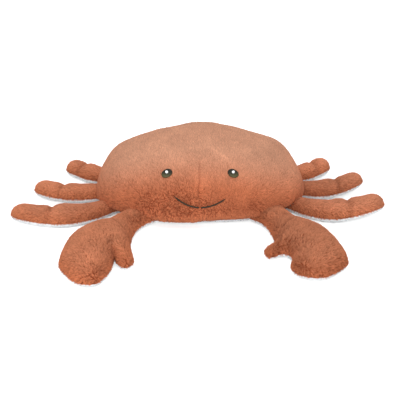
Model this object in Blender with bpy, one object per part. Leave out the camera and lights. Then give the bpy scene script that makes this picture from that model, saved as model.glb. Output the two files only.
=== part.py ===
"""Plush crab: a soft toy that lies on its belly, with six legs and two claws spread on the floor.

Metres, +Z up. The face looks along -Y. The origin is on the floor, under the middle of the belly.

Each soft part is sewn from a top panel and an under panel of pile fabric and filled with fibre.
A Sheet below is the outside face of one panel. Its inside face is the same points moved in by the
fabric's thickness, and the stuffing lies a clearance inside that.
"""

import math
from dataclasses import dataclass, replace

import bpy
import numpy as np
from mathutils import Vector
from mathutils.geometry import delaunay_2d_cdt

MM = 0.001

# Fabric and sewing
FABRIC_THICKNESS = 2.5 * MM
CLEARANCE = 0.3 * MM
SEAM_HEIGHT = 7.0 * MM

# Body
BODY_HALF_WIDTH = 131.0 * MM
BODY_HALF_DEPTH = 87.0 * MM
BODY_HEIGHT = 97.0 * MM
BODY_WIDEST_HEIGHT = 16.5 * MM
BODY_SQUARENESS = 2.55
CROWN_SQUARENESS = 1.87
SEAM_TUCK = 10.0 * MM
BELLY_EDGE_ROUND = 14.0 * MM

# Dart down the middle of the face
DART_TOP_HEIGHT = 79.0 * MM
DART_FADE = 14.0 * MM
DART_DEPTH = 2.0 * MM
DART_HALF_WIDTH = 5.0 * MM

# Embroidered eyes, each with a glint
EYE_FROM_MIDDLE = 39.6 * MM
EYE_HEIGHT = 64.0 * MM
EYE_LENGTH = 14.0 * MM
EYE_WIDTH = 9.0 * MM
EYE_TILT = math.radians(34.0)
EMBROIDERY_THICKNESS = 1.2 * MM
GLINT_DIAMETER = 3.4 * MM
GLINT_RISE = 1.0 * MM
GLINT_THICKNESS = 0.6 * MM

# Embroidered smile, parted by the dart
SMILE_HALF_WIDTH = 31.0 * MM
SMILE_LOW_HEIGHT = 28.5 * MM
SMILE_RISE_LEFT = 12.8 * MM
SMILE_RISE_RIGHT = 10.2 * MM
SMILE_THREAD_DIAMETER = 1.7 * MM
SMILE_PARTING = 2.6 * MM

# Limbs, inside the body's outline
LIMB_ROOT_REACH = 24.0 * MM
LIMB_UNDER_SAG = 9.0 * MM
UNDER_ROUNDING = 0.6

# Legs
LEG_TIP_ROUND = 17.0 * MM
LEG_CREASE_DEPTH = 0.16
LEG_CREASE_WIDTH = 6.0 * MM

# Claws: sizes along the pattern piece from the body's seam and across it. Those that the stuffing
# pulls differently on the two sides are in CLAW_POSES.
CLAW_CROWN = 27.0 * MM
WRIST_ALONG = 36.0 * MM
PALM_ALONG = 95.0 * MM
NOTCH_INNER = 12.5 * MM
WRIST_CREASE_DEPTH = 0.12
WRIST_CREASE_WIDTH = 9.0 * MM

# Mesh fineness
POINTS_AROUND_BODY = 42
ROWS_UP_CROWN = 9
LEG_COLUMNS = 6
CLAW_SPACING = 10.0 * MM
CLAW_OUTLINE_SPACING = 8.5 * MM
CLAW_EDGE_RING = 2.6 * MM

RUST = (0.502, 0.165, 0.075)
UNDERSIDE_WHITE = (0.76, 0.79, 0.80)
FIBRE_WHITE = (0.86, 0.86, 0.84)
THREAD_OLIVE = (0.022, 0.022, 0.014)
THREAD_WHITE = (0.90, 0.90, 0.90)


@dataclass(frozen=True)
class LegPattern:
    """The pattern piece that a left and a right leg are both cut to."""

    thigh: float
    shin: float
    foot: float
    root_width: float
    knee_width: float
    foot_width: float
    crown: float

    @property
    def length(self):
        return self.thigh + self.shin + self.foot


@dataclass(frozen=True)
class LegPose:
    """How one leg lies. Headings are degrees from straight out, positive towards the back."""

    root_y: float
    thigh_heading: float
    shin_heading: float
    foot_heading: float
    tip_rise: float
    stretch: float


@dataclass(frozen=True)
class ClawPose:
    """How one claw lies and how full its outline is, inner towards the thumb and outer away from it.

    The heading is degrees from straight ahead, positive outwards. The heel, the knuckle and the
    fingertip reach out by a share of the palm's outer reach.
    """

    shoulder_from_middle: float
    heading: float
    length: float
    stretch: float
    arm_inner: float
    arm_outer: float
    wrist_inner: float
    wrist_outer: float
    palm_outer: float
    heel_share: float
    knuckle_share: float
    fingertip_share: float
    fingertip_across: float
    finger_inner: float
    notch_along: float
    thumb_root_inner: float
    thumb_tip_along: float
    thumb_tip_across: float
    thumb_width: float


LEG_PATTERNS = {
    "front": LegPattern(40 * MM, 36 * MM, 51 * MM, 25 * MM, 37.5 * MM, 27 * MM, 17.5 * MM),
    "middle": LegPattern(27 * MM, 26 * MM, 40 * MM, 25.5 * MM, 32.5 * MM, 25 * MM, 16.0 * MM),
    "back": LegPattern(26 * MM, 21 * MM, 29 * MM, 24 * MM, 29.5 * MM, 25.5 * MM, 15.5 * MM),
}
LEG_POSES = {
    ("left", "front"): LegPose(-41.5 * MM, -38, -8, 19, 1 * MM, 1.02),
    ("left", "middle"): LegPose(-1 * MM, -8, 0, 28, 2 * MM, 1.0),
    ("left", "back"): LegPose(39.5 * MM, 25, 30, 36, 2 * MM, 0.985),
    ("right", "front"): LegPose(-34 * MM, -36, -4, 24, 7.5 * MM, 0.945),
    ("right", "middle"): LegPose(7 * MM, -5, 4, 31, 8.5 * MM, 0.98),
    ("right", "back"): LegPose(41.5 * MM, 29, 32, 33, 4 * MM, 0.93),
}
CLAW_POSES = {
    "left": ClawPose(
        shoulder_from_middle=76 * MM,
        heading=17.0,
        length=159 * MM,
        stretch=1.07,
        arm_inner=24 * MM,
        arm_outer=14.5 * MM,
        wrist_inner=11.5 * MM,
        wrist_outer=29.5 * MM,
        palm_outer=51.2 * MM,
        heel_share=0.98,
        knuckle_share=0.82,
        fingertip_share=0.40,
        fingertip_across=1.5 * MM,
        finger_inner=17 * MM,
        notch_along=101.5 * MM,
        thumb_root_inner=18.5 * MM,
        thumb_tip_along=123.5 * MM,
        thumb_tip_across=30 * MM,
        thumb_width=20 * MM,
    ),
    "right": ClawPose(
        shoulder_from_middle=85 * MM,
        heading=16.6,
        length=158 * MM,
        stretch=1.01,
        arm_inner=26 * MM,
        arm_outer=18.5 * MM,
        wrist_inner=14.5 * MM,
        wrist_outer=27 * MM,
        palm_outer=48 * MM,
        heel_share=0.89,
        knuckle_share=0.93,
        fingertip_share=0.56,
        fingertip_across=-1 * MM,
        finger_inner=21.5 * MM,
        notch_along=108.5 * MM,
        thumb_root_inner=20 * MM,
        thumb_tip_along=101 * MM,
        thumb_tip_across=37.5 * MM,
        thumb_width=23 * MM,
    ),
}


@dataclass(frozen=True)
class Sheet:
    """The outside face of one panel: faces wound outwards, and a rim that runs the way they do.

    The seam is the height of the joint between the two panels, at each point.
    """

    points: np.ndarray
    faces: list
    rim: list
    seam: np.ndarray
    faces_up: bool


@dataclass(frozen=True)
class Plan:
    """A pattern piece laid flat, with how far the stuffing fills it and how far it rises."""

    points: np.ndarray
    faces: list
    rim: list
    fullness: np.ndarray
    rise: np.ndarray


def smooth_step(value):
    """0 below 0, 1 above 1, and smooth between."""
    held = np.clip(value, 0.0, 1.0)
    return held * held * (3.0 - 2.0 * held)


def superellipse_reach(other, half_this, half_other):
    """How far the body's outline reaches on one axis at a place on the other axis."""
    return half_this * (1.0 - abs(other / half_other) ** BODY_SQUARENESS) ** (1 / BODY_SQUARENESS)


def dart_depth(x, z):
    """How far the dart draws the face in."""
    across = np.clip(1.0 - np.abs(x) / DART_HALF_WIDTH, 0.0, 1.0)
    ends = smooth_step((DART_TOP_HEIGHT - z) / DART_FADE) * smooth_step((z - SEAM_HEIGHT) / DART_FADE)
    return DART_DEPTH * across * ends


def face_point(x, z):
    """The point of the carapace's front at a place across and up."""
    up = (z - BODY_WIDEST_HEIGHT) / (BODY_HEIGHT - BODY_WIDEST_HEIGHT)
    share = (1.0 - up**CROWN_SQUARENESS) ** (1 / CROWN_SQUARENESS)
    power = BODY_SQUARENESS
    y = -BODY_HALF_DEPTH * (share**power - abs(x / BODY_HALF_WIDTH) ** power) ** (1 / power)
    return np.array([x, y + dart_depth(x, z), z])


def face_normal(x, z):
    """The outward direction of the carapace's front there, the dart left out."""
    step = 0.5 * MM
    plain = abs(x) + (DART_HALF_WIDTH if abs(x) < DART_HALF_WIDTH else 0.0)
    side = -1.0 if x < 0 else 1.0
    across = face_point(side * (plain + step), z) - face_point(side * (plain - step), z)
    up = face_point(side * plain, z + step) - face_point(side * plain, z - step)
    normal = np.cross(across, up) * side
    return normal / np.linalg.norm(normal)


def angles_around_body():
    """Directions of the body's columns, with two more beside the dart."""
    beside = math.atan2(DART_HALF_WIDTH, BODY_HALF_DEPTH)
    even = [2 * math.pi * i / POINTS_AROUND_BODY - math.pi / 2 for i in range(POINTS_AROUND_BODY)]
    return np.array([even[0], even[0] + beside] + even[1:] + [2 * math.pi + even[0] - beside])


def body_ring(half_width, half_depth, z):
    """One closed ring of the body's outline, anticlockwise from the middle of the face."""
    angle = angles_around_body()
    across = np.abs(np.cos(angle) / half_width) ** BODY_SQUARENESS
    along = np.abs(np.sin(angle) / half_depth) ** BODY_SQUARENESS
    reach = (across + along) ** (-1 / BODY_SQUARENESS)
    return np.column_stack([reach * np.cos(angle), reach * np.sin(angle), np.full(len(angle), z)])


def halves(a, b, c, d):
    """A quad as two triangles, so that both faces of a panel and the stuffing bend alike."""
    return [(a, b, c), (a, c, d)]


def ring_faces(count, rows):
    """The faces between rings that follow each other upwards and inwards."""
    faces = []
    for row in range(rows - 1):
        for i in range(count):
            after = (i + 1) % count
            lower, upper = row * count, (row + 1) * count
            faces += halves(lower + i, lower + after, upper + after, upper + i)
    return faces


def carapace_sheet():
    """The body's top: up from the seam, out to the widest line and over the crown."""
    rings = []
    for share in (1.0, 0.55):
        drop = (BODY_WIDEST_HEIGHT - SEAM_HEIGHT) * share
        tuck = SEAM_TUCK * share**2
        rings.append(body_ring(BODY_HALF_WIDTH - tuck, BODY_HALF_DEPTH - tuck, BODY_WIDEST_HEIGHT - drop))
    for row in range(ROWS_UP_CROWN, 0, -1):
        turn = math.pi / 2 * row / ROWS_UP_CROWN
        share = math.sin(turn) ** (2 / CROWN_SQUARENESS)
        up = math.cos(turn) ** (2 / CROWN_SQUARENESS) if row < ROWS_UP_CROWN else 0.0
        height = BODY_WIDEST_HEIGHT + (BODY_HEIGHT - BODY_WIDEST_HEIGHT) * up
        rings.append(body_ring(BODY_HALF_WIDTH * share, BODY_HALF_DEPTH * share, height))
    count = len(rings[0])
    points = np.vstack(rings + [np.array([[0.0, 0.0, BODY_HEIGHT]])])
    front = points[:, 1] < 0
    points[front, 1] += dart_depth(points[front, 0], points[front, 2])
    faces = ring_faces(count, len(rings))
    last, pole = (len(rings) - 1) * count, len(points) - 1
    faces += [(last + i, last + (i + 1) % count, pole) for i in range(count)]
    return Sheet(points, faces, list(range(count)), np.full(len(points), SEAM_HEIGHT), True)


def belly_sheet():
    """The body's underside: down from the seam round the edge to a flat that lies on the floor."""
    rings = []
    for turn in (0.0, 30.0, 60.0, 90.0):
        inset = SEAM_TUCK + BELLY_EDGE_ROUND * (1.0 - math.cos(math.radians(turn)))
        height = (SEAM_HEIGHT - CLEARANCE) * (1.0 - math.sin(math.radians(turn)))
        rings.append(body_ring(BODY_HALF_WIDTH - inset, BODY_HALF_DEPTH - inset, height))
    count = len(rings[0])
    faces = [face[::-1] for face in ring_faces(count, len(rings))]
    last = (len(rings) - 1) * count
    faces.append(tuple(last + i for i in range(count))[::-1])
    points = np.vstack(rings)
    return Sheet(points, faces, list(range(count))[::-1], np.full(len(points), SEAM_HEIGHT), False)


def rim_outward(sheet):
    """Level directions square to the rim, away from the fabric."""
    loop = sheet.points[sheet.rim, :2]
    ahead, behind = np.roll(loop, -1, axis=0), np.roll(loop, 1, axis=0)
    travel = (ahead - behind) * (1.0 if sheet.faces_up else -1.0)
    return np.column_stack([travel[:, 1], -travel[:, 0], np.zeros(len(loop))])


def outward_normals(sheet):
    """A direction out of the fabric at each point; at the rim it is level."""
    normals = np.zeros_like(sheet.points)
    for face in sheet.faces:
        corners = sheet.points[list(face)]
        total = np.cross(corners, np.roll(corners, -1, axis=0)).sum(axis=0)
        for index in face:
            normals[index] += total
    normals[sheet.rim] = rim_outward(sheet)
    return normals / np.linalg.norm(normals, axis=1, keepdims=True)


def inside(sheet, depth):
    """The sheet's points moved in by a depth, but not past the seam where the piece is thin."""
    moved = sheet.points - outward_normals(sheet) * depth
    margin = FABRIC_THICKNESS + CLEARANCE - depth
    loose = np.setdiff1d(np.arange(len(moved)), sheet.rim)
    if sheet.faces_up:
        moved[loose, 2] = np.maximum(moved[loose, 2], sheet.seam[loose] + margin)
    else:
        moved[loose, 2] = np.minimum(moved[loose, 2], sheet.seam[loose] - CLEARANCE - margin)
    return moved


def principled(name, colour, roughness, sheen):
    """A Principled material of one colour."""
    material = bpy.data.materials.new(name)
    material.use_nodes = True
    shader = material.node_tree.nodes["Principled BSDF"]
    shader.inputs["Base Color"].default_value = (*colour, 1.0)
    shader.inputs["Roughness"].default_value = roughness
    shader.inputs["Metallic"].default_value = 0.0
    shader.inputs["Sheen Weight"].default_value = sheen
    material.diffuse_color = (*colour, 1.0)
    return material


def make_object(name, points, faces, material, parent=None):
    """A smooth-shaded mesh object."""
    mesh = bpy.data.meshes.new(name)
    mesh.from_pydata([tuple(point) for point in points], [], [tuple(face) for face in faces])
    mesh.materials.append(material)
    mesh.shade_smooth()
    mesh.set_sharp_from_angle(angle=math.radians(50))
    made = bpy.data.objects.new(name, mesh)
    made.parent = parent
    bpy.context.scene.collection.objects.link(made)
    return made


def add_panel(name, sheet, material, parent=None):
    """One sewn panel: the outside face, the inside face and the cut edge between them."""
    count = len(sheet.points)
    points = np.vstack([sheet.points, inside(sheet, FABRIC_THICKNESS)])
    faces = list(sheet.faces) + [tuple(count + i for i in face)[::-1] for face in sheet.faces]
    for here, after in zip(sheet.rim, sheet.rim[1:] + sheet.rim[:1]):
        faces.append((after, here, count + here, count + after))
    return make_object(name, points, faces, material, parent)


def closed_form(name, top, under, depth, material, parent=None):
    """The solid between two sheets that share a seam, a depth inside both."""
    count = len(top.points)
    points = np.vstack([inside(top, depth), inside(under, depth)])
    faces = list(top.faces) + [tuple(count + i for i in face) for face in under.faces]
    under_rim = [count + i for i in under.rim[::-1]]
    for i, here in enumerate(top.rim):
        after = (i + 1) % len(top.rim)
        faces.append((top.rim[after], here, under_rim[i], under_rim[after]))
    return make_object(name, points, faces, material, parent)


def add_stuffing(name, top, under, parent=None):
    """The fibre between two panels."""
    depth = FABRIC_THICKNESS + CLEARANCE
    material = principled(name, FIBRE_WHITE, 1.0, 0.0)
    return closed_form(name, top, under, depth, material, parent)


def empty_at(name, x, y, turn):
    """An empty on the floor that carries a limb's pieces."""
    holder = bpy.data.objects.new(name, None)
    holder.location = (x, y, 0.0)
    holder.rotation_euler = (0.0, 0.0, turn)
    bpy.context.scene.collection.objects.link(holder)
    return holder


def trim_to_body(limb_piece, envelope):
    """Ends a limb's piece at the body, a clearance away from it."""
    trim = limb_piece.modifiers.new("trim_to_body", "BOOLEAN")
    trim.operation = "DIFFERENCE"
    trim.solver = "EXACT"
    trim.object = envelope


def lifted_sheets(plan, crown):
    """The top and under sheets that a flat plan fills out to. The under one rests on the floor."""
    seam = SEAM_HEIGHT + plan.rise
    top_height = seam + crown * plan.fullness
    under_height = seam - CLEARANCE - LIMB_UNDER_SAG * plan.fullness**UNDER_ROUNDING
    top = Sheet(np.column_stack([plan.points, top_height]), plan.faces, plan.rim, seam, True)
    under_points = np.column_stack([plan.points, np.maximum(under_height, 0.0)])
    under_faces = [tuple(face)[::-1] for face in plan.faces]
    return top, Sheet(under_points, under_faces, plan.rim[::-1], seam, False)


def add_limb(name, plan, crown, holder, envelope):
    """A limb's top panel, under panel and stuffing, ended at the body."""
    top, under = lifted_sheets(plan, crown)
    pieces = [
        add_panel(f"{name}_top", top, principled(f"{name}_top", RUST, 0.9, 0.4), holder),
        add_panel(f"{name}_under", under, principled(f"{name}_under", UNDERSIDE_WHITE, 0.9, 0.3), holder),
        add_stuffing(f"{name}_stuffing", top, under, holder),
    ]
    for piece in pieces:
        trim_to_body(piece, envelope)


def stretched(pattern, stretch):
    """The pattern with its lengths stretched."""
    lengths = {name: getattr(pattern, name) * stretch for name in ("thigh", "shin", "foot")}
    return replace(pattern, **lengths)


def leg_stations(pattern):
    """Distances along a leg: into the body, along it, at its crease and round its tip."""
    crease = pattern.thigh + pattern.shin
    straight_end = pattern.length - LEG_TIP_ROUND
    hidden = [-LIMB_ROOT_REACH, -LIMB_ROOT_REACH / 3]
    creased = [crease - LEG_CREASE_WIDTH, crease, crease + LEG_CREASE_WIDTH]
    rounded = [straight_end + LEG_TIP_ROUND * math.sin(math.radians(a)) for a in (25, 50, 72)]
    return np.array(hidden + [pattern.thigh * 0.45, pattern.thigh] + creased + rounded)


def leg_plan(pattern, headings, rise):
    """A leg laid flat along +X from the seam: stations along it, columns across, and one tip point."""
    middles = [pattern.thigh / 2, pattern.thigh + pattern.shin / 2, pattern.length - pattern.foot / 2]
    fine = np.linspace(-LIMB_ROOT_REACH, pattern.length, 400)
    heading = np.radians(np.interp(fine, middles, headings))
    step = fine[1] - fine[0]
    line_x, line_y = np.cumsum(np.cos(heading)) * step, np.cumsum(np.sin(heading)) * step
    line_x -= np.interp(0.0, fine, line_x)
    line_y -= np.interp(0.0, fine, line_y)

    stations = leg_stations(pattern)
    across = -np.cos(np.linspace(0.0, math.pi, LEG_COLUMNS + 1))
    points, fullness, raised = [], [], []
    for place in stations:
        turn = np.interp(place, fine, heading)
        centre = np.array([np.interp(place, fine, line_x), np.interp(place, fine, line_y)])
        to_tip = max(0.0, (place - (pattern.length - LEG_TIP_ROUND)) / LEG_TIP_ROUND)
        narrowing = math.sqrt(1.0 - to_tip**2)
        knee = pattern.thigh + pattern.shin / 2
        widths = [pattern.root_width, pattern.knee_width, pattern.foot_width]
        width = np.interp(place, [0.0, knee, pattern.length], widths)
        sideways = np.array([-math.sin(turn), math.cos(turn)]) * width / 2 * narrowing
        from_crease = (place - pattern.thigh - pattern.shin) / LEG_CREASE_WIDTH
        creased = 1.0 - LEG_CREASE_DEPTH * math.exp(-(from_crease**2))
        closed = 0.0 if place <= -LIMB_ROOT_REACH else 1.0
        points += [centre + sideways * share for share in across]
        full = np.sqrt(np.clip(1.0 - across**2, 0.0, 1.0)) * narrowing * creased * closed
        slimming = width / pattern.knee_width
        fullness += list(full * slimming)
        raised += [rise * smooth_step((place - pattern.thigh) / (pattern.length - pattern.thigh))] * len(across)
    points.append(np.array([line_x[-1], line_y[-1]]))
    fullness.append(0.0)
    raised.append(rise)

    columns, rows, tip = len(across), len(stations), len(points) - 1
    faces = []
    for row in range(rows - 1):
        for i in range(columns - 1):
            low, high = row * columns + i, (row + 1) * columns + i
            faces += halves(low, high, high + 1, low + 1)
    last = (rows - 1) * columns
    faces += [(last + i, tip, last + i + 1) for i in range(columns - 1)]
    right_edge = [row * columns for row in range(rows)]
    left_edge = [row * columns + columns - 1 for row in reversed(range(rows))]
    root_edge = list(range(columns - 2, 0, -1))
    rim = right_edge + [tip] + left_edge + root_edge
    return Plan(np.array(points), faces, rim, np.array(fullness), np.array(raised))


def spline_through(knots, spacing):
    """Points of a closed smooth curve through the knots, no further apart than the spacing."""
    points = []
    count = len(knots)
    for i in range(count):
        before, here, there, beyond = (knots[(i + k) % count] for k in (-1, 0, 1, 2))
        bend = 2 * before - 5 * here + 4 * there - beyond
        twist = 3 * here - before - 3 * there + beyond
        pieces = math.ceil(np.linalg.norm(there - here) / spacing)
        for t in np.linspace(0.0, 1.0, pieces, endpoint=False):
            points.append(here + 0.5 * (t * (there - before) + t**2 * bend + t**3 * twist))
    return np.array(points)


def distance_inside(points, outline):
    """How far inside a closed outline each point lies, negative outside it."""
    starts, ends = outline, np.roll(outline, -1, axis=0)
    sides = ends - starts
    offsets = points[:, None, :] - starts[None, :, :]
    along = np.clip((offsets * sides).sum(axis=2) / (sides**2).sum(axis=1), 0.0, 1.0)
    nearest = np.linalg.norm(offsets - along[:, :, None] * sides, axis=2).min(axis=1)
    rising = (starts[:, 1] <= points[:, None, 1]) != (ends[:, 1] <= points[:, None, 1])
    slope = np.where(sides[:, 1] == 0.0, 1.0, sides[:, 1])
    crossing_x = starts[:, 0] + (points[:, None, 1] - starts[:, 1]) / slope * sides[:, 0]
    crossings = (rising & (points[:, None, 0] < crossing_x)).sum(axis=1)
    return np.where(crossings % 2 == 1, nearest, -nearest)


def pillow_fullness(points, faces, rim):
    """How full a stuffed outline is at each point: 0 on the rim and 1 where it is fullest.

    It is the root of the height of an evenly loaded membrane held at the rim, which makes a strip's
    section a half ellipse and gives a wide part more height than a narrow one.
    """
    count = len(points)
    stiffness, load = np.zeros((count, count)), np.zeros(count)
    for face in faces:
        corners = points[list(face)]
        first, second = corners[1] - corners[0], corners[2] - corners[0]
        area = abs(first[0] * second[1] - first[1] * second[0]) / 2
        for k in range(3):
            i, j, opposite = face[k], face[(k + 1) % 3], corners[(k + 2) % 3]
            weight = np.dot(points[i] - opposite, points[j] - opposite) / (4 * area)
            stiffness[i, i] += weight
            stiffness[j, j] += weight
            stiffness[i, j] -= weight
            stiffness[j, i] -= weight
            load[face[k]] += area / 3
    free = np.setdiff1d(np.arange(count), rim)
    height = np.zeros(count)
    height[free] = np.linalg.solve(stiffness[np.ix_(free, free)], load[free])
    return np.sqrt(np.clip(height / height.max(), 0.0, 1.0))


def claw_outline(pose):
    """The claw's pattern piece along +X from the seam: arm, palm, thumb, notch and finger."""
    wrist, palm, notch, length = [
        place * pose.stretch for place in (WRIST_ALONG, PALM_ALONG, pose.notch_along, pose.length)
    ]
    thumb_base = np.array([(wrist + notch) / 2, NOTCH_INNER])
    tip = np.array([pose.thumb_tip_along, pose.thumb_tip_across])
    along = (tip - thumb_base) / np.linalg.norm(tip - thumb_base)
    across = np.array([-along[1], along[0]])
    behind_tip = tip - along * pose.thumb_width * 0.65
    finger_start = (notch + length) / 2
    knots = [
        (-LIMB_ROOT_REACH, pose.arm_outer * 0.8),
        (-LIMB_ROOT_REACH, -pose.arm_outer * 0.8),
        (0.0, -pose.arm_outer),
        (wrist * 0.5, -(pose.arm_outer + pose.wrist_outer) / 2),
        (wrist, -pose.wrist_outer),
        ((wrist + palm) / 2, -pose.palm_outer * pose.heel_share),
        (palm, -pose.palm_outer),
        (finger_start, -pose.palm_outer * pose.knuckle_share),
        (length * 0.95, -pose.palm_outer * pose.fingertip_share),
        (length, pose.fingertip_across - 6 * MM),
        (length * 0.975, pose.fingertip_across + 10.5 * MM),
        (length * 0.9, pose.finger_inner * 0.96),
        (finger_start * 0.95, pose.finger_inner),
        (notch, NOTCH_INNER),
        tuple(behind_tip - across * pose.thumb_width / 2),
        tuple(tip),
        tuple(behind_tip + across * pose.thumb_width / 2),
        (thumb_base[0], pose.thumb_root_inner),
        (wrist, pose.wrist_inner),
        (wrist * 0.4, (pose.wrist_inner + pose.arm_inner) * 0.46),
        (0.0, pose.arm_inner),
    ]
    return [np.array(knot) for knot in knots]


def claw_plan(pose, side):
    """A claw laid flat: its outline, a ring just inside it and an even grid, joined in triangles."""
    knots = [knot * np.array([1.0, side]) for knot in claw_outline(pose)]
    outline = spline_through(knots if side > 0 else knots[::-1], CLAW_OUTLINE_SPACING)
    ahead, behind = np.roll(outline, -1, axis=0), np.roll(outline, 1, axis=0)
    tangent = (ahead - behind) / np.linalg.norm(ahead - behind, axis=1, keepdims=True)
    ring = outline + np.column_stack([-tangent[:, 1], tangent[:, 0]]) * CLAW_EDGE_RING
    low, high = outline.min(axis=0), outline.max(axis=0)
    grid = []
    for row, y in enumerate(np.arange(low[1], high[1], CLAW_SPACING * math.sqrt(0.75))):
        shift = CLAW_SPACING / 2 * (row % 2)
        grid += [(x + shift, y) for x in np.arange(low[0], high[0], CLAW_SPACING)]
    grid = np.array(grid)
    grid = grid[distance_inside(grid, outline) > CLAW_EDGE_RING + CLAW_SPACING * 0.6]
    given = [Vector(point) for point in np.vstack([outline, ring, grid])]
    edge = list(range(len(outline)))
    flat, _, faces, came_from, _, _ = delaunay_2d_cdt(given, [], [edge], 1, 1e-7)
    points = np.array([tuple(point) for point in flat])
    place = {source: index for index, sources in enumerate(came_from) for source in sources}
    rim = [place[index] for index in edge]
    fullness = pillow_fullness(points, faces, rim)
    from_wrist = (points[:, 0] - WRIST_ALONG * pose.stretch) / WRIST_CREASE_WIDTH
    fullness *= 1.0 - WRIST_CREASE_DEPTH * np.exp(-(from_wrist**2))
    return Plan(points, [tuple(face) for face in faces], rim, fullness, np.zeros(len(points)))


def add_patch(name, centre, half_length, half_width, tilt, lift, thickness, colour):
    """An oval patch of embroidery that follows the face, with its underside a lift above it."""
    rings, around = 2, 14
    offsets = [(0.0, 0.0)]
    for ring in range(1, rings + 1):
        for i in range(around):
            turn, share = 2 * math.pi * i / around, ring / rings
            offsets.append((half_length * share * math.cos(turn), half_width * share * math.sin(turn)))
    normal = face_normal(*centre)
    slope = math.hypot(normal[1], normal[2])
    lower, upper = [], []
    for along, across in offsets:
        x = centre[0] + along * math.cos(tilt) - across * math.sin(tilt)
        up = along * math.sin(tilt) + across * math.cos(tilt)
        z = centre[1] + up * abs(normal[1]) / slope
        spot, out = face_point(x, z), face_normal(x, z)
        edge = math.hypot(along / half_length, across / half_width) > 0.9
        lower.append(spot + out * lift)
        upper.append(spot + out * (lift + thickness * (0.45 if edge else 1.0)))
    disc = [(0, 1 + i, 1 + (i + 1) % around) for i in range(around)]
    for i in range(around):
        after = (i + 1) % around
        disc.append((1 + i, 1 + around + i, 1 + around + after, 1 + after))
    rim = [1 + around + i for i in range(around)]
    count = len(offsets)
    faces = disc + [tuple(count + i for i in face)[::-1] for face in disc]
    for here, after in zip(rim, rim[1:] + rim[:1]):
        faces.append((after, here, count + here, count + after))
    make_object(name, np.array(upper + lower), faces, principled(name, colour, 0.6, 0.0))


def smile_height(x):
    """The smile's height at a place across the face."""
    rise = SMILE_RISE_LEFT if x < 0.0 else SMILE_RISE_RIGHT
    return SMILE_LOW_HEIGHT + rise * (x / SMILE_HALF_WIDTH) ** 2


def add_smile_half(name, side):
    """One half of the smile: a thread that follows the face from the dart to the smile's corner."""
    steps, sides = 9, 6
    radius = SMILE_THREAD_DIAMETER / 2
    places = np.linspace(SMILE_PARTING, SMILE_HALF_WIDTH, steps + 1) * side
    path = [face_point(x, smile_height(x)) for x in places]
    outs = [face_normal(x, smile_height(x)) for x in places]
    centres = [spot + out * (CLEARANCE + radius) for spot, out in zip(path, outs)]
    points = []
    for i, centre in enumerate(centres):
        along = centres[min(i + 1, steps)] - centres[max(i - 1, 0)]
        across = np.cross(along, outs[i])
        across /= np.linalg.norm(across)
        for k in range(sides):
            turn = 2 * math.pi * k / sides
            points.append(centre + radius * (math.cos(turn) * outs[i] + math.sin(turn) * across))
    faces = []
    for row in range(steps):
        for k in range(sides):
            after = (k + 1) % sides
            faces.append((row * sides + k, row * sides + after, (row + 1) * sides + after, (row + 1) * sides + k))
    faces.append(tuple(range(sides))[::-1])
    faces.append(tuple(steps * sides + k for k in range(sides)))
    make_object(name, np.array(points), faces, principled(name, THREAD_OLIVE, 0.6, 0.0))


def add_face():
    """Both eyes with their glints, and the two halves of the smile."""
    for name, side in (("left", -1), ("right", 1)):
        centre = (side * EYE_FROM_MIDDLE, EYE_HEIGHT)
        tilt = -side * EYE_TILT
        eye_half = (EYE_LENGTH / 2, EYE_WIDTH / 2)
        add_patch(f"{name}_eye", centre, *eye_half, tilt, CLEARANCE, EMBROIDERY_THICKNESS, THREAD_OLIVE)
        above = (centre[0], centre[1] + GLINT_RISE)
        lift = 2 * CLEARANCE + EMBROIDERY_THICKNESS
        glint_half = (GLINT_DIAMETER / 2, GLINT_DIAMETER / 2)
        add_patch(f"{name}_eye_glint", above, *glint_half, tilt, lift, GLINT_THICKNESS, THREAD_WHITE)
        add_smile_half(f"smile_{name}", side)


def add_body():
    """The carapace, the belly and their stuffing. Returns the form that limbs are ended at."""
    top, under = carapace_sheet(), belly_sheet()
    add_panel("carapace", top, principled("carapace", RUST, 0.9, 0.4))
    add_panel("belly", under, principled("belly", UNDERSIDE_WHITE, 0.9, 0.3))
    stuffing_depth = FABRIC_THICKNESS + CLEARANCE
    closed_form("body_stuffing", top, under, stuffing_depth, principled("body_stuffing", FIBRE_WHITE, 1.0, 0.0))
    envelope = closed_form("body_envelope", top, under, -CLEARANCE, principled("envelope", RUST, 1.0, 0.0))
    envelope.hide_render = True
    envelope.display_type = "WIRE"
    return envelope


def add_legs(envelope):
    """Three legs a side, each turned so that its plan's +X points straight out of the body."""
    seam_half_width, seam_half_depth = BODY_HALF_WIDTH - SEAM_TUCK, BODY_HALF_DEPTH - SEAM_TUCK
    for (side_name, place), pose in LEG_POSES.items():
        side = -1 if side_name == "left" else 1
        pattern = stretched(LEG_PATTERNS[place], pose.stretch)
        root_x = side * superellipse_reach(pose.root_y, seam_half_width, seam_half_depth)
        holder = empty_at(f"{side_name}_{place}_leg_root", root_x, pose.root_y, 0.0 if side > 0 else math.pi)
        headings = [side * angle for angle in (pose.thigh_heading, pose.shin_heading, pose.foot_heading)]
        plan = leg_plan(pattern, headings, pose.tip_rise)
        add_limb(f"{side_name}_{place}_leg", plan, pattern.crown, holder, envelope)


def add_claws(envelope):
    """Two claws, each turned so that its plan's +X points along the arm."""
    seam_half_width, seam_half_depth = BODY_HALF_WIDTH - SEAM_TUCK, BODY_HALF_DEPTH - SEAM_TUCK
    for side_name, pose in CLAW_POSES.items():
        side = -1 if side_name == "left" else 1
        root_y = -superellipse_reach(pose.shoulder_from_middle, seam_half_depth, seam_half_width)
        turn = -math.pi / 2 + side * math.radians(pose.heading)
        holder = empty_at(f"{side_name}_claw_root", side * pose.shoulder_from_middle, root_y, turn)
        add_limb(f"{side_name}_claw", claw_plan(pose, -side), CLAW_CROWN, holder, envelope)


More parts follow.
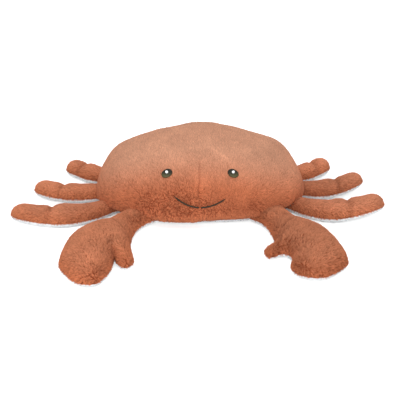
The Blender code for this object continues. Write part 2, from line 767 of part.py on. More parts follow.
def main():
    for old in list(bpy.data.objects):
        bpy.data.objects.remove(old, do_unlink=True)
    envelope = add_body()
    add_legs(envelope)
    add_claws(envelope)
    add_face()


main()
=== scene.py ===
"""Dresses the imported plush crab: pile fabric, embroidered face, fibre filling, floor, light and camera.

Metres, +Z up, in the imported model's frame. The face looks along -Y. Left is at -X, as in the photograph.

Each sewn panel is shown as a thin woven backing with tufts of pile standing on it. The backing lies
inside the CAD surface and the tips of the tufts lie around it, so that the outline stays the CAD one.
"""

import logging
import math
from dataclasses import dataclass, replace
from enum import Enum

import bpy
import numpy as np
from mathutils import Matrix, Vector
from mathutils.geometry import delaunay_2d_cdt


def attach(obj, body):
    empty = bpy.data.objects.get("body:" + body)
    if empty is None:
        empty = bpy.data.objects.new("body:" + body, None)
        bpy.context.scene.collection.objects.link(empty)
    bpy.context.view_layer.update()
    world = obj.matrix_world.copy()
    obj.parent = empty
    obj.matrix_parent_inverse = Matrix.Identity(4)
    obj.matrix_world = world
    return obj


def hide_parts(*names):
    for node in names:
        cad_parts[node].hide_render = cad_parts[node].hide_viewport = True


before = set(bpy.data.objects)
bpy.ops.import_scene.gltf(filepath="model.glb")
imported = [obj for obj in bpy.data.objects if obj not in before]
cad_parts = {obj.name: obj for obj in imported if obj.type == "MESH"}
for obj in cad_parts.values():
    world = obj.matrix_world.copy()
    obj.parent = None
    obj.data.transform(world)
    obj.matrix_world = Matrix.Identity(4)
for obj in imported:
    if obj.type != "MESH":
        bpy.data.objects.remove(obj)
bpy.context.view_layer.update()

MM = 0.001
ROOT_BODY = "root"
log = logging.getLogger("plush_crab")

Socket = bpy.types.NodeSocket
Colour = tuple[float, float, float, float]

CUT_EDGE_DEPTH = 0.1 * MM  # how deep the backing lies at a panel's cut edge
CUT_EDGE_SLOPE = 0.7  # how steeply it sinks away from there


def linear(hex_colour: str) -> Colour:
    """Turns an sRGB hex colour into a linear one.

    Args:
        hex_colour: six hex digits after a hash.

    Returns:
        Linear red, green and blue, and an alpha of one.
    """
    shares = [int(hex_colour[i : i + 2], 16) / 255 for i in (1, 3, 5)]
    red, green, blue = [c / 12.92 if c <= 0.04045 else ((c + 0.055) / 1.055) ** 2.4 for c in shares]
    return red, green, blue, 1.0


def smooth_step(value: np.ndarray) -> np.ndarray:
    """Gives 0 below 0, 1 above 1, and a smooth rise between."""
    held = np.clip(value, 0.0, 1.0)
    return held * held * (3.0 - 2.0 * held)


def nearness(away: np.ndarray, width: float) -> np.ndarray:
    """Gives 1 at no distance, falling to 0 a little beyond the width."""
    return np.exp(-((away / width) ** 2))


def unit(vectors: np.ndarray) -> np.ndarray:
    """Gives each row at length one."""
    return vectors / np.maximum(np.linalg.norm(vectors, axis=1, keepdims=True), 1e-12)


class Side(Enum):
    """The side of the toy as the photograph shows it, with its sign along X."""

    LEFT = -1
    RIGHT = 1

    @property
    def word(self) -> str:
        """The side's name in node names."""
        return self.name.lower()


class Scatter:
    """Repeatable random values tied to places in space."""

    def __init__(self, seed: int) -> None:
        """Draws the table of values.

        Args:
            seed: picks the table.
        """
        self.table = np.random.default_rng(seed).random((8192, 4))

    def at_cells(self, cells: np.ndarray) -> np.ndarray:
        """Gives four values from 0 to 1 for each whole-numbered cell.

        Args:
            cells: an array of cell numbers with three columns.

        Returns:
            An array with four columns.
        """
        mixed = cells[..., 0] * 73856093 ^ cells[..., 1] * 19349663 ^ cells[..., 2] * 83492791
        return self.table[np.mod(mixed, len(self.table))]

    def smooth(self, points: np.ndarray, size: float) -> np.ndarray:
        """Gives smooth noise from -1 to 1.

        Args:
            points: places, in metres.
            size: the distance between neighbouring lumps, in metres.

        Returns:
            One value for each place.
        """
        scaled = points / size
        corner = np.floor(scaled).astype(np.int64)
        share = smooth_step(scaled - corner)
        total = np.zeros(len(points))
        for offset in np.ndindex(2, 2, 2):
            weight = np.prod(np.where(offset, share, 1.0 - share), axis=1)
            total += weight * self.at_cells(corner + np.array(offset))[:, 0]
        return total * 2.0 - 1.0

    def nearest_clump(self, points: np.ndarray, size: float) -> tuple[np.ndarray, np.ndarray]:
        """Finds the clump that each place belongs to.

        Args:
            points: places, in metres.
            size: the distance between neighbouring clumps, in metres.

        Returns:
            The clumps' middles, and four values from 0 to 1 for each clump.
        """
        base = np.floor(points / size).astype(np.int64)
        best = np.full(len(points), np.inf)
        middles, values = np.zeros_like(points), np.zeros((len(points), 4))
        for offset in np.ndindex(3, 3, 3):
            cells = base + np.array(offset) - 1
            drawn = self.at_cells(cells)
            middle = (cells + 0.15 + 0.7 * drawn[:, :3]) * size
            away = ((middle - points) ** 2).sum(axis=1)
            closer = away < best
            best[closer] = away[closer]
            middles[closer] = middle[closer]
            values[closer] = drawn[closer]
        return middles, values


@dataclass
class Sheet:
    """The visible surface of one sewn panel, with how its pile lies at each point."""

    points: np.ndarray
    triangles: np.ndarray
    nap: np.ndarray
    raised: np.ndarray
    cover: np.ndarray
    # tone: how much paler or darker the pile is painted, with random strokes, painted shade in creases, partings and
    # the dart, painted highlight on ridges and painted sheen on lit sides
    tone: np.ndarray
    depth: np.ndarray | None = None

    @classmethod
    def bare(cls, points: np.ndarray, triangles: np.ndarray) -> "Sheet":
        """Makes a sheet without pile, for its shape alone.

        Args:
            points: corners, in metres.
            triangles: corner numbers of each face.

        Returns:
            The sheet.
        """
        blank = np.zeros(len(points))
        return cls(points, triangles, points, blank, blank, blank)

    def facings(self) -> np.ndarray:
        """Gives each face's outward direction, twice as long as the face is large."""
        corners = self.points[self.triangles]
        return np.cross(corners[:, 1] - corners[:, 0], corners[:, 2] - corners[:, 0])

    def normals(self) -> np.ndarray:
        """Averages the faces round each point.

        Returns:
            The outward direction at each point.
        """
        total = np.zeros_like(self.points)
        facing = self.facings()
        for column in range(3):
            np.add.at(total, self.triangles[:, column], facing)
        return unit(total)

    def edge(self) -> np.ndarray:
        """Finds the panel's cut edge.

        Returns:
            Pairs of point numbers along the edge, in the faces' own direction.
        """
        pairs = np.vstack([self.triangles[:, [0, 1]], self.triangles[:, [1, 2]], self.triangles[:, [2, 0]]])
        count = len(self.points)
        forward, backward = pairs[:, 0] * count + pairs[:, 1], pairs[:, 1] * count + pairs[:, 0]
        return pairs[~np.isin(forward, backward)]

    def settled(self, depth: float) -> "Sheet":
        """Settles how deep the backing lies under the pile: all the way in, and not at all at the cut edge.

        Args:
            depth: how deep it lies where the pile is at its full length.

        Returns:
            The same sheet with its depths.
        """
        rim = self.points[self.edge()[:, 0]]
        away = np.array([np.linalg.norm(rim - point, axis=1).min() for point in self.points])
        return replace(self, depth=np.minimum(depth * self.cover, CUT_EDGE_DEPTH + CUT_EDGE_SLOPE * away))

    def without(self, hidden: np.ndarray) -> "Sheet":
        """Drops the faces whose corners are all hidden.

        Args:
            hidden: true for each hidden point.

        Returns:
            The rest of the sheet, with the points that nothing uses left out.
        """
        kept = self.triangles[~hidden[self.triangles].all(axis=1)]
        used, places = np.unique(kept, return_inverse=True)
        fields = (field[used] for field in (self.nap, self.raised, self.cover, self.tone))
        return Sheet(self.points[used], places.reshape(-1, 3), *fields)


class MeshMaker:
    """Makes mesh objects that ride on the body."""

    @staticmethod
    def make(name: str, points: np.ndarray, triangles: np.ndarray, material: bpy.types.Material) -> bpy.types.Object:
        """Makes a smooth-shaded mesh object.

        Args:
            name: the object's name.
            points: corners, in metres.
            triangles: corner numbers of each face.
            material: the finish.

        Returns:
            The new object.
        """
        mesh = bpy.data.meshes.new(name)
        mesh.vertices.add(len(points))
        mesh.vertices.foreach_set("co", np.ascontiguousarray(points, dtype=np.float32).ravel())
        mesh.loops.add(len(triangles) * 3)
        mesh.loops.foreach_set("vertex_index", np.ascontiguousarray(triangles, dtype=np.int32).ravel())
        mesh.polygons.add(len(triangles))
        mesh.polygons.foreach_set("loop_start", np.arange(0, len(triangles) * 3, 3, dtype=np.int32))
        mesh.update(calc_edges=True)
        mesh.validate()
        mesh.materials.append(material)
        mesh.shade_smooth()
        made = bpy.data.objects.new(name, mesh)
        bpy.context.scene.collection.objects.link(made)
        return made

    @staticmethod
    def share(made: bpy.types.Object, name: str, values: np.ndarray) -> None:
        """Stores one value for each point, for the material to read.

        Args:
            made: the object.
            name: the name that the material reads.
            values: one value for each point.
        """
        layer = made.data.attributes.new(name, "FLOAT", "POINT")
        layer.data.foreach_set("value", values.astype(np.float32))

    @staticmethod
    def unfold_tufts(made: bpy.types.Object, count: int) -> None:
        """Unfolds each tuft into its own half of a square cell of a UV map.

        Args:
            made: an object of four-faced tufts.
            count: how many tufts it has.
        """
        low, left, middle = (0.48, 0.04), (0.04, 0.48), (0.48, 0.48)
        net = np.array(
            [low, left, middle, left, (0.04, 0.92), middle, low, middle, (0.92, 0.04), low, (0.04, 0.04), left]
        )
        side = math.ceil(math.sqrt((count + 1) // 2))
        number = np.arange(count)
        corner = np.column_stack([(number // 2) % side, (number // 2) // side])
        nets = np.where((number % 2 == 1)[:, None, None], 1.0 - net[None], net[None])
        layer = made.data.uv_layers.new(name="OFBake")
        layer.data.foreach_set("uv", ((corner[:, None, :] + nets) / side).astype(np.float32).ravel())


class Nodes:
    """The node tree of a material or of the world, filled one node at a time."""

    def __init__(self, owner: bpy.types.Material | bpy.types.World) -> None:
        """Starts with an empty tree.

        Args:
            owner: the material or world that the tree belongs to.
        """
        owner.use_nodes = True
        self.owner = owner
        self.tree = owner.node_tree
        self.tree.nodes.clear()

    def add(
        self, kind: str, links: dict | None = None, values: dict | None = None, **settings: object
    ) -> bpy.types.Node:
        """Adds a node with its settings, its fixed input values and its links.

        Args:
            kind: Blender's name for the node.
            links: input name or number to the output socket that feeds it.
            values: input name or number to a fixed value.
            settings: the node's own properties.

        Returns:
            The new node.
        """
        node = self.tree.nodes.new(kind)
        for key, value in settings.items():
            setattr(node, key, value)
        for key, value in (values or {}).items():
            node.inputs[key].default_value = value
        for key, socket in (links or {}).items():
            self.tree.links.new(socket, node.inputs[key])
        return node

    def mixed(
        self, share: Socket | None, first: Socket | Colour, second: Socket | Colour, way: str = "MIX"
    ) -> Socket:
        """Adds a colour mix.

        Args:
            share: feeds the share of the second colour. None is all of it.
            first: the first colour, or what feeds it.
            second: the second colour, or what feeds it.
            way: how the two are mixed.

        Returns:
            The mixed colour.
        """
        node = self.add("ShaderNodeMix", data_type="RGBA", blend_type=way)
        node.inputs[0].default_value = 1.0
        for number, value in ((0, share), (6, first), (7, second)):
            if isinstance(value, tuple):
                node.inputs[number].default_value = value
            elif value is not None:
                self.tree.links.new(value, node.inputs[number])
        return node.outputs[2]

    def looked_at(self) -> Socket:
        """Tells what the camera sees, also in a reflection or through glass, from what only lights the toy.

        Returns:
            One where the camera looks and zero elsewhere.
        """
        path = self.add("ShaderNodeLightPath").outputs
        seen = self.add("ShaderNodeMath", {0: path["Is Camera Ray"], 1: path["Is Glossy Ray"]}, operation="MAXIMUM")
        through = {0: seen.outputs[0], 1: path["Is Transmission Ray"]}
        return self.add("ShaderNodeMath", through, operation="MAXIMUM").outputs[0]


@dataclass(frozen=True)
class PileFinish:
    """Polyester plush: knitted microfibre pile, cut and brushed.

    The fibres are matt and dyed through. The pile is painted paler higher up and towards the sides, a painted
    sheen of pile brushed flat, and each tuft is painted darker towards its root, a painted shade where the
    pile stands in clumps and the eye sees down into it.
    """

    name: str
    # tip is the fibre colour higher up, painted paler as a painted sheen; low_tip the fibre colour lower down; root
    # the colour at the roots, a painted shade. The colour goes from low_tip to tip between low_height and
    # high_height.
    tip: str
    low_tip: str
    root: str
    low_height: float
    high_height: float
    painted_sheen_outwards: float = 0.0  # how fast the painted sheen of the upper pile spreads towards the toy's sides
    sheen: float = 0.25
    full_reach: float = 0.6  # share of a tuft's length at which the dye shows in full; below it the tuft is painted darker towards the root, a painted shade
    fleck_size: float = 1.1 * MM  # a tuft of fibres, about as wide as it needs to be to show
    patch_size: float = 14.0 * MM  # areas that a hand has stroked one way or another
    least_light: float = 0.44  # how dark the darkest fibre is beside its dye
    fleck_light: float = 0.36  # what a pale fleck adds
    patch_light: float = 0.36  # what a patch stroked towards the light adds
    tuft_light: float = 0.40  # what a pale tuft adds

    def make(self) -> bpy.types.Material:
        """Makes the material.

        Returns:
            The pile's material.
        """
        nodes = Nodes(bpy.data.materials.new(self.name))
        place = nodes.add("ShaderNodeTexCoord").outputs["Object"]
        split = nodes.add("ShaderNodeSeparateXYZ", {0: place}).outputs
        across = nodes.add("ShaderNodeMath", {0: split["X"], 1: split["X"]}, operation="MULTIPLY").outputs[0]
        # Painted sheen: the fibre colour goes from low_tip to the paler tip higher up and towards the sides.
        brushed = nodes.add(
            "ShaderNodeMath", {0: across, 2: split["Z"]}, {1: self.painted_sheen_outwards}, operation="MULTIPLY_ADD"
        ).outputs[0]
        up = nodes.add(
            "ShaderNodeMapRange",
            {"Value": brushed},
            {"From Min": self.low_height, "From Max": self.high_height},
            interpolation_type="SMOOTHSTEP",
        ).outputs["Result"]
        dye = nodes.mixed(up, linear(self.low_tip), linear(self.tip))
        fleck = nodes.add(
            "ShaderNodeTexNoise", {"Vector": place}, {"Scale": 1.0 / self.fleck_size, "Detail": 1.0}
        ).outputs["Fac"]
        patch = nodes.add(
            "ShaderNodeTexNoise", {"Vector": place}, {"Scale": 1.0 / self.patch_size, "Detail": 3.0}
        ).outputs["Fac"]
        reach = nodes.add("ShaderNodeAttribute", attribute_name="reach").outputs["Fac"]
        tuft = nodes.add("ShaderNodeAttribute", attribute_name="tuft").outputs["Fac"]
        light = nodes.add(
            "ShaderNodeMath", {0: fleck}, {1: self.fleck_light, 2: self.least_light}, operation="MULTIPLY_ADD"
        ).outputs[0]
        for source, strength in ((patch, self.patch_light), (tuft, self.tuft_light)):
            light = nodes.add(
                "ShaderNodeMath", {0: source, 2: light}, {1: strength}, operation="MULTIPLY_ADD"
            ).outputs[0]
        # Painted shade: each tuft is painted darker from this share of its length down to its root.
        lift = nodes.add("ShaderNodeMapRange", {"Value": reach}, {"From Max": self.full_reach}).outputs["Result"]
        root_shaded_dye = nodes.mixed(lift, linear(self.root), dye)
        tone = nodes.mixed(None, root_shaded_dye, light, "MULTIPLY")
        shader = nodes.add(
            "ShaderNodeBsdfPrincipled",
            {"Base Color": tone},
            {
                "Roughness": 0.88,
                "Specular IOR Level": 0.2,
                "Sheen Weight": self.sheen,
                "Sheen Roughness": 0.6,
                "Sheen Tint": linear(self.tip),
            },
        )
        nodes.add("ShaderNodeOutputMaterial", {"Surface": shader.outputs[0]})
        return nodes.owner


@dataclass(frozen=True)
class ThreadFinish:
    """Rayon embroidery thread laid in satin stitch: smooth, with a soft gloss along the threads."""

    name: str
    colour: str
    low_colour: str
    middle_height: float
    fade: float
    thread_width: float = 0.45 * MM
    least_light: float = 0.72  # how dark the shade between two threads is
    thread_light: float = 0.5  # what the top of a thread adds

    def make(self) -> bpy.types.Material:
        """Makes the material.

        Returns:
            The thread's material.
        """
        nodes = Nodes(bpy.data.materials.new(self.name))
        place = nodes.add("ShaderNodeTexCoord").outputs["Object"]
        height = nodes.add("ShaderNodeSeparateXYZ", {0: place}).outputs["Z"]
        up = nodes.add(
            "ShaderNodeMapRange",
            {"Value": height},
            {"From Min": self.middle_height - self.fade, "From Max": self.middle_height + self.fade},
            interpolation_type="SMOOTHSTEP",
        ).outputs["Result"]
        dye = nodes.mixed(up, linear(self.low_colour), linear(self.colour))
        fleck = nodes.add(
            "ShaderNodeTexNoise", {"Vector": place}, {"Scale": 1.0 / self.thread_width, "Detail": 2.0}
        ).outputs["Fac"]
        light = nodes.add(
            "ShaderNodeMath", {0: fleck}, {1: self.thread_light, 2: self.least_light}, operation="MULTIPLY_ADD"
        ).outputs[0]
        tone = nodes.mixed(None, dye, light, "MULTIPLY")
        shader = nodes.add(
            "ShaderNodeBsdfPrincipled",
            {"Base Color": tone},
            {"Roughness": 0.5, "Specular IOR Level": 0.25},
        )
        nodes.add("ShaderNodeOutputMaterial", {"Surface": shader.outputs[0]})
        return nodes.owner


@dataclass(frozen=True)
class FillingFinish:
    """Loose polyester fibre filling: white crimped fibre, cloudy and matt."""

    name: str = "polyester_fibre_filling"
    colour: str = "#eeeeea"
    shade: str = "#d9d9d4"
    wisp_size: float = 6.0 * MM
    wisp_height: float = 2.0 * MM

    def make(self) -> bpy.types.Material:
        """Makes the material.

        Returns:
            The filling's material.
        """
        nodes = Nodes(bpy.data.materials.new(self.name))
        place = nodes.add("ShaderNodeTexCoord").outputs["Object"]
        wisp = nodes.add(
            "ShaderNodeTexNoise", {"Vector": place}, {"Scale": 1.0 / self.wisp_size, "Detail": 6.0, "Roughness": 0.7}
        ).outputs["Fac"]
        dye = nodes.mixed(wisp, linear(self.shade), linear(self.colour))
        bump = nodes.add("ShaderNodeBump", {"Height": wisp}, {"Strength": 0.6, "Distance": self.wisp_height})
        shader = nodes.add(
            "ShaderNodeBsdfPrincipled",
            {"Base Color": dye, "Normal": bump.outputs[0]},
            {"Roughness": 0.95, "Specular IOR Level": 0.1, "Sheen Weight": 0.3},
        )
        nodes.add("ShaderNodeOutputMaterial", {"Surface": shader.outputs[0]})
        return nodes.owner


@dataclass(frozen=True)
class Fabric:
    """How a pile fabric is made: its backing and its tufts."""

    backing_depth: float = 1.9 * MM
    backing_thickness: float = 0.5 * MM
    tufts_per_mm2: float = 1.6
    tuft_length: float = 3.9 * MM
    tuft_width: float = 0.86 * MM
    flat_lay: float = 15.0  # degrees between the cloth and a tuft that is brushed flat
    raised_lay: float = 42.0  # and one that stands
    stray: float = 0.13  # how far each tuft turns aside from the nap
    stray_lay: float = 5.0
    clump_size: float = 3.3 * MM
    clump_pull: float = 0.75
    warp_size: float = 5.0 * MM  # clumps are pushed out of their even grid over this distance
    warp_reach: float = 0.8  # by so much of their own size
    pit_size: float = 1.9 * MM  # where raised pile parts, the eye sees down between the tufts, which are shortened there and painted darker, a painted shade
    pit_depth: float = 0.8
    pit_onset: float = 0.12  # the noise at which the pile starts to part
    pit_spread: float = 0.36  # and how much more opens it fully
    least_length: float = 0.78  # the shortest tufts, as a share of the full length
    length_spread: float = 0.24
    width_spread: float = 0.5
    ridge: float = 0.45  # how high and how far along a tuft's back rises, as shares of its width
    ridge_along: float = 0.4
    middle_reach: float = 0.35  # how far up the fibre the ridge lies
    root_sink: float = 0.1 * MM
    flat_pile_root_lift: float = 0.42  # less painted shade at the roots where flat pile hides them: the roots take the colour from this share up the fibre, as pale as the fibre above them
    fullest_piece: int = 47500  # the most tufts in one piece, which keeps it under 200,000 triangles
    floor_height: float = 0.25 * MM

    def root_reach(self, raised: np.ndarray) -> np.ndarray:
        """Gives how far up the fibre the colour at the roots is taken from, which lessens their painted shade."""
        return np.clip(self.flat_pile_root_lift * (1.0 - 1.6 * raised), 0.0, 1.0)

    def add_backing(self, name: str, sheet: Sheet, material: bpy.types.Material) -> bpy.types.Object:
        """Makes the thin backing that the pile stands on, closed along its cut edge.

        Args:
            name: the object's name.
            sheet: the panel's surface.
            material: the finish.

        Returns:
            The new object.
        """
        inward = -sheet.normals()
        edge = sheet.edge()
        upper = sheet.points + inward * sheet.depth[:, None]
        lower = upper + inward * self.backing_thickness
        count = len(upper)
        here, after = edge[:, 0], edge[:, 1]
        triangles = np.vstack(
            [
                sheet.triangles,
                sheet.triangles[:, ::-1] + count,
                np.column_stack([after, here, here + count]),
                np.column_stack([after, here + count, after + count]),
            ]
        )
        made = MeshMaker.make(name, np.vstack([upper, lower]), triangles, material)
        # The backing is painted with the tufts' root colour, a painted shade, paler where the pile lies flat.
        MeshMaker.share(made, "reach", np.tile(self.root_reach(sheet.raised), 2))
        MeshMaker.share(made, "tuft", np.full(2 * count, 0.5))
        return made

    def planted(self, sheet: Sheet, draw: np.random.Generator) -> tuple[np.ndarray, np.ndarray]:
        """Picks where the tufts stand, evenly over the sheet's area.

        Args:
            sheet: the surface that the pile covers.
            draw: gives the random numbers.

        Returns:
            The three corners of the face that each tuft stands on, and its share of each.
        """
        wanted = np.cumsum(np.linalg.norm(sheet.facings(), axis=1) / 2 / MM**2 * self.tufts_per_mm2)
        count = min(int(wanted[-1]), self.fullest_piece)
        spots = (np.arange(count) + draw.random(count)) * wanted[-1] / count
        chosen = sheet.triangles[np.minimum(np.searchsorted(wanted, spots), len(wanted) - 1)]
        first, second = np.sqrt(draw.random(count)), draw.random(count)
        return chosen, np.column_stack([1.0 - first, first * (1.0 - second), first * second])

    def combed(
        self, nap: np.ndarray, out: np.ndarray, raised: np.ndarray, traits: np.ndarray, draw: np.random.Generator
    ) -> np.ndarray:
        """Lays each tuft along the nap, with its clump's turn and a little of its own.

        Args:
            nap: where the pile is brushed to. Where it is short, the tufts stand more.
            out: the outward directions.
            raised: how far the pile stands.
            traits: four values from 0 to 1 for each tuft's clump.
            draw: gives the random numbers.

        Returns:
            The direction that each tuft points in.
        """
        count = len(nap)
        turned = (traits[:, :3] - 0.5) * (0.12 + 0.75 * raised)[:, None]
        nap = nap + turned + draw.normal(0, self.stray, (count, 3))
        nap = nap - out * (nap * out).sum(axis=1, keepdims=True)
        nap = unit(nap) * np.minimum(np.linalg.norm(nap, axis=1, keepdims=True) * 1.6, 1.0)
        lay = self.flat_lay + (self.raised_lay - self.flat_lay) * raised + draw.normal(0, self.stray_lay, count)
        lay = np.radians(lay)
        return unit(nap * np.cos(lay)[:, None] + out * np.sin(lay)[:, None])

    def grow(self, name: str, sheet: Sheet, material: bpy.types.Material, seed: int) -> bpy.types.Object:
        """Grows tufts of pile out of a sheet.

        Args:
            name: the object's name.
            sheet: the surface that the pile covers.
            material: the finish.
            seed: picks the tufts' places.

        Returns:
            The new object.
        """
        draw = np.random.default_rng(seed)
        scatter = Scatter(seed)
        chosen, shares = self.planted(sheet, draw)
        count = len(chosen)
        surface, out, nap = (
            (values[chosen] * shares[:, :, None]).sum(axis=1) for values in (sheet.points, sheet.normals(), sheet.nap)
        )
        raised, cover, tone, depth = (
            (values[chosen] * shares).sum(axis=1) for values in (sheet.raised, sheet.cover, sheet.tone, sheet.depth)
        )
        out = unit(out)
        warp = np.stack([scatter.smooth(surface + shift, self.warp_size) for shift in (0.0, 0.3, 0.7)], axis=1)
        warp = warp * self.clump_size * self.warp_reach
        middles, traits = scatter.nearest_clump(surface + warp, self.clump_size)
        middles = middles - warp
        opened = (scatter.smooth(surface, self.pit_size) - self.pit_onset) / self.pit_spread
        pit = self.pit_depth * smooth_step(opened) * raised
        lean = self.combed(nap, out, raised, traits, draw)
        own_length, clump_length = self.length_spread * draw.random(count), self.length_spread * (traits[:, 3] - 0.5)
        length = self.tuft_length * cover * (self.least_length + own_length + clump_length * raised)
        length *= (1.0 - 0.5 * pit) * (0.5 + 0.5 * smooth_step(depth / (self.backing_depth * cover)))
        root = surface - out * (depth + self.root_sink)[:, None]
        tip = root + lean * length[:, None]
        pull = middles + lean * (self.tuft_length * 0.8) - tip
        pull -= out * (pull * out).sum(axis=1, keepdims=True)
        tip += pull * (self.clump_pull * (0.08 + 0.7 * raised) * (0.4 + 0.8 * traits[:, 1]) * cover)[:, None]
        tip[:, 2] = np.maximum(tip[:, 2], self.floor_height + draw.random(count) * 0.3 * MM)
        ahead = unit(tip - root)
        sideways = unit(np.cross(ahead, out))
        above = unit(np.cross(sideways, ahead))
        width = self.tuft_width * (1.0 - self.width_spread / 2 + self.width_spread * draw.random(count))
        half = sideways * (width / 2)[:, None]
        rise = above * (width * self.ridge)[:, None]
        back = root + rise + ahead * (width * self.ridge_along)[:, None]
        points = np.stack([root - half, root + half, back, tip], axis=1)
        start = np.arange(count)[:, None] * 4
        triangles = np.stack([start + np.array([k]) for k in ((0, 1, 2), (1, 3, 2), (0, 2, 3), (0, 3, 1))], axis=1)
        made = MeshMaker.make(name, points.reshape(-1, 3), triangles.reshape(-1, 3), material)
        low_reach = self.root_reach(raised)
        reach = np.stack([low_reach, low_reach, np.maximum(low_reach, self.middle_reach), np.ones(count)], axis=1)
        MeshMaker.share(made, "reach", reach.ravel())
        # Each tuft's tone: random for the tuft and its clump, painted shade where the pile parts, and the sheet's
        # tone.
        own = draw.random(count)
        shade = own + (traits[:, 0] - own) * (0.1 + 0.45 * raised) - 1.0 * pit + tone
        MeshMaker.share(made, "tuft", np.repeat(shade, 4))
        MeshMaker.unfold_tufts(made, count)
        spread = np.stack([-half, half, rise, ahead * 0.0], axis=1).reshape(-1, 3) / MM
        softened = np.repeat(out, 4, axis=0) + spread * np.repeat(0.35 + 0.5 * raised, 4)[:, None]
        made.data.normals_split_custom_set_from_vertices(unit(softened))
        return made


THIN_WHITE = Fabric(backing_depth=1.2 * MM, tufts_per_mm2=0.42, tuft_length=3.0 * MM, tuft_width=1.5 * MM)


@dataclass(frozen=True)
class Fold:
    """A fold, dent or lump along a straight line, in millimetres."""

    start: tuple[float, float, float]
    end: tuple[float, float, float]
    width: float
    rise: float = 0.0

    def near(self, points: np.ndarray) -> np.ndarray:
        """Gives 1 along the line and 0 away from it.

        Args:
            points: places, in metres.

        Returns:
            One value for each place.
        """
        first, last = np.array(self.start) * MM, np.array(self.end) * MM
        span = last - first
        along = np.clip((points - first) @ span / (span @ span), 0.0, 1.0)
        return nearness(np.linalg.norm(points - first - along[:, None] * span, axis=1), self.width * MM)


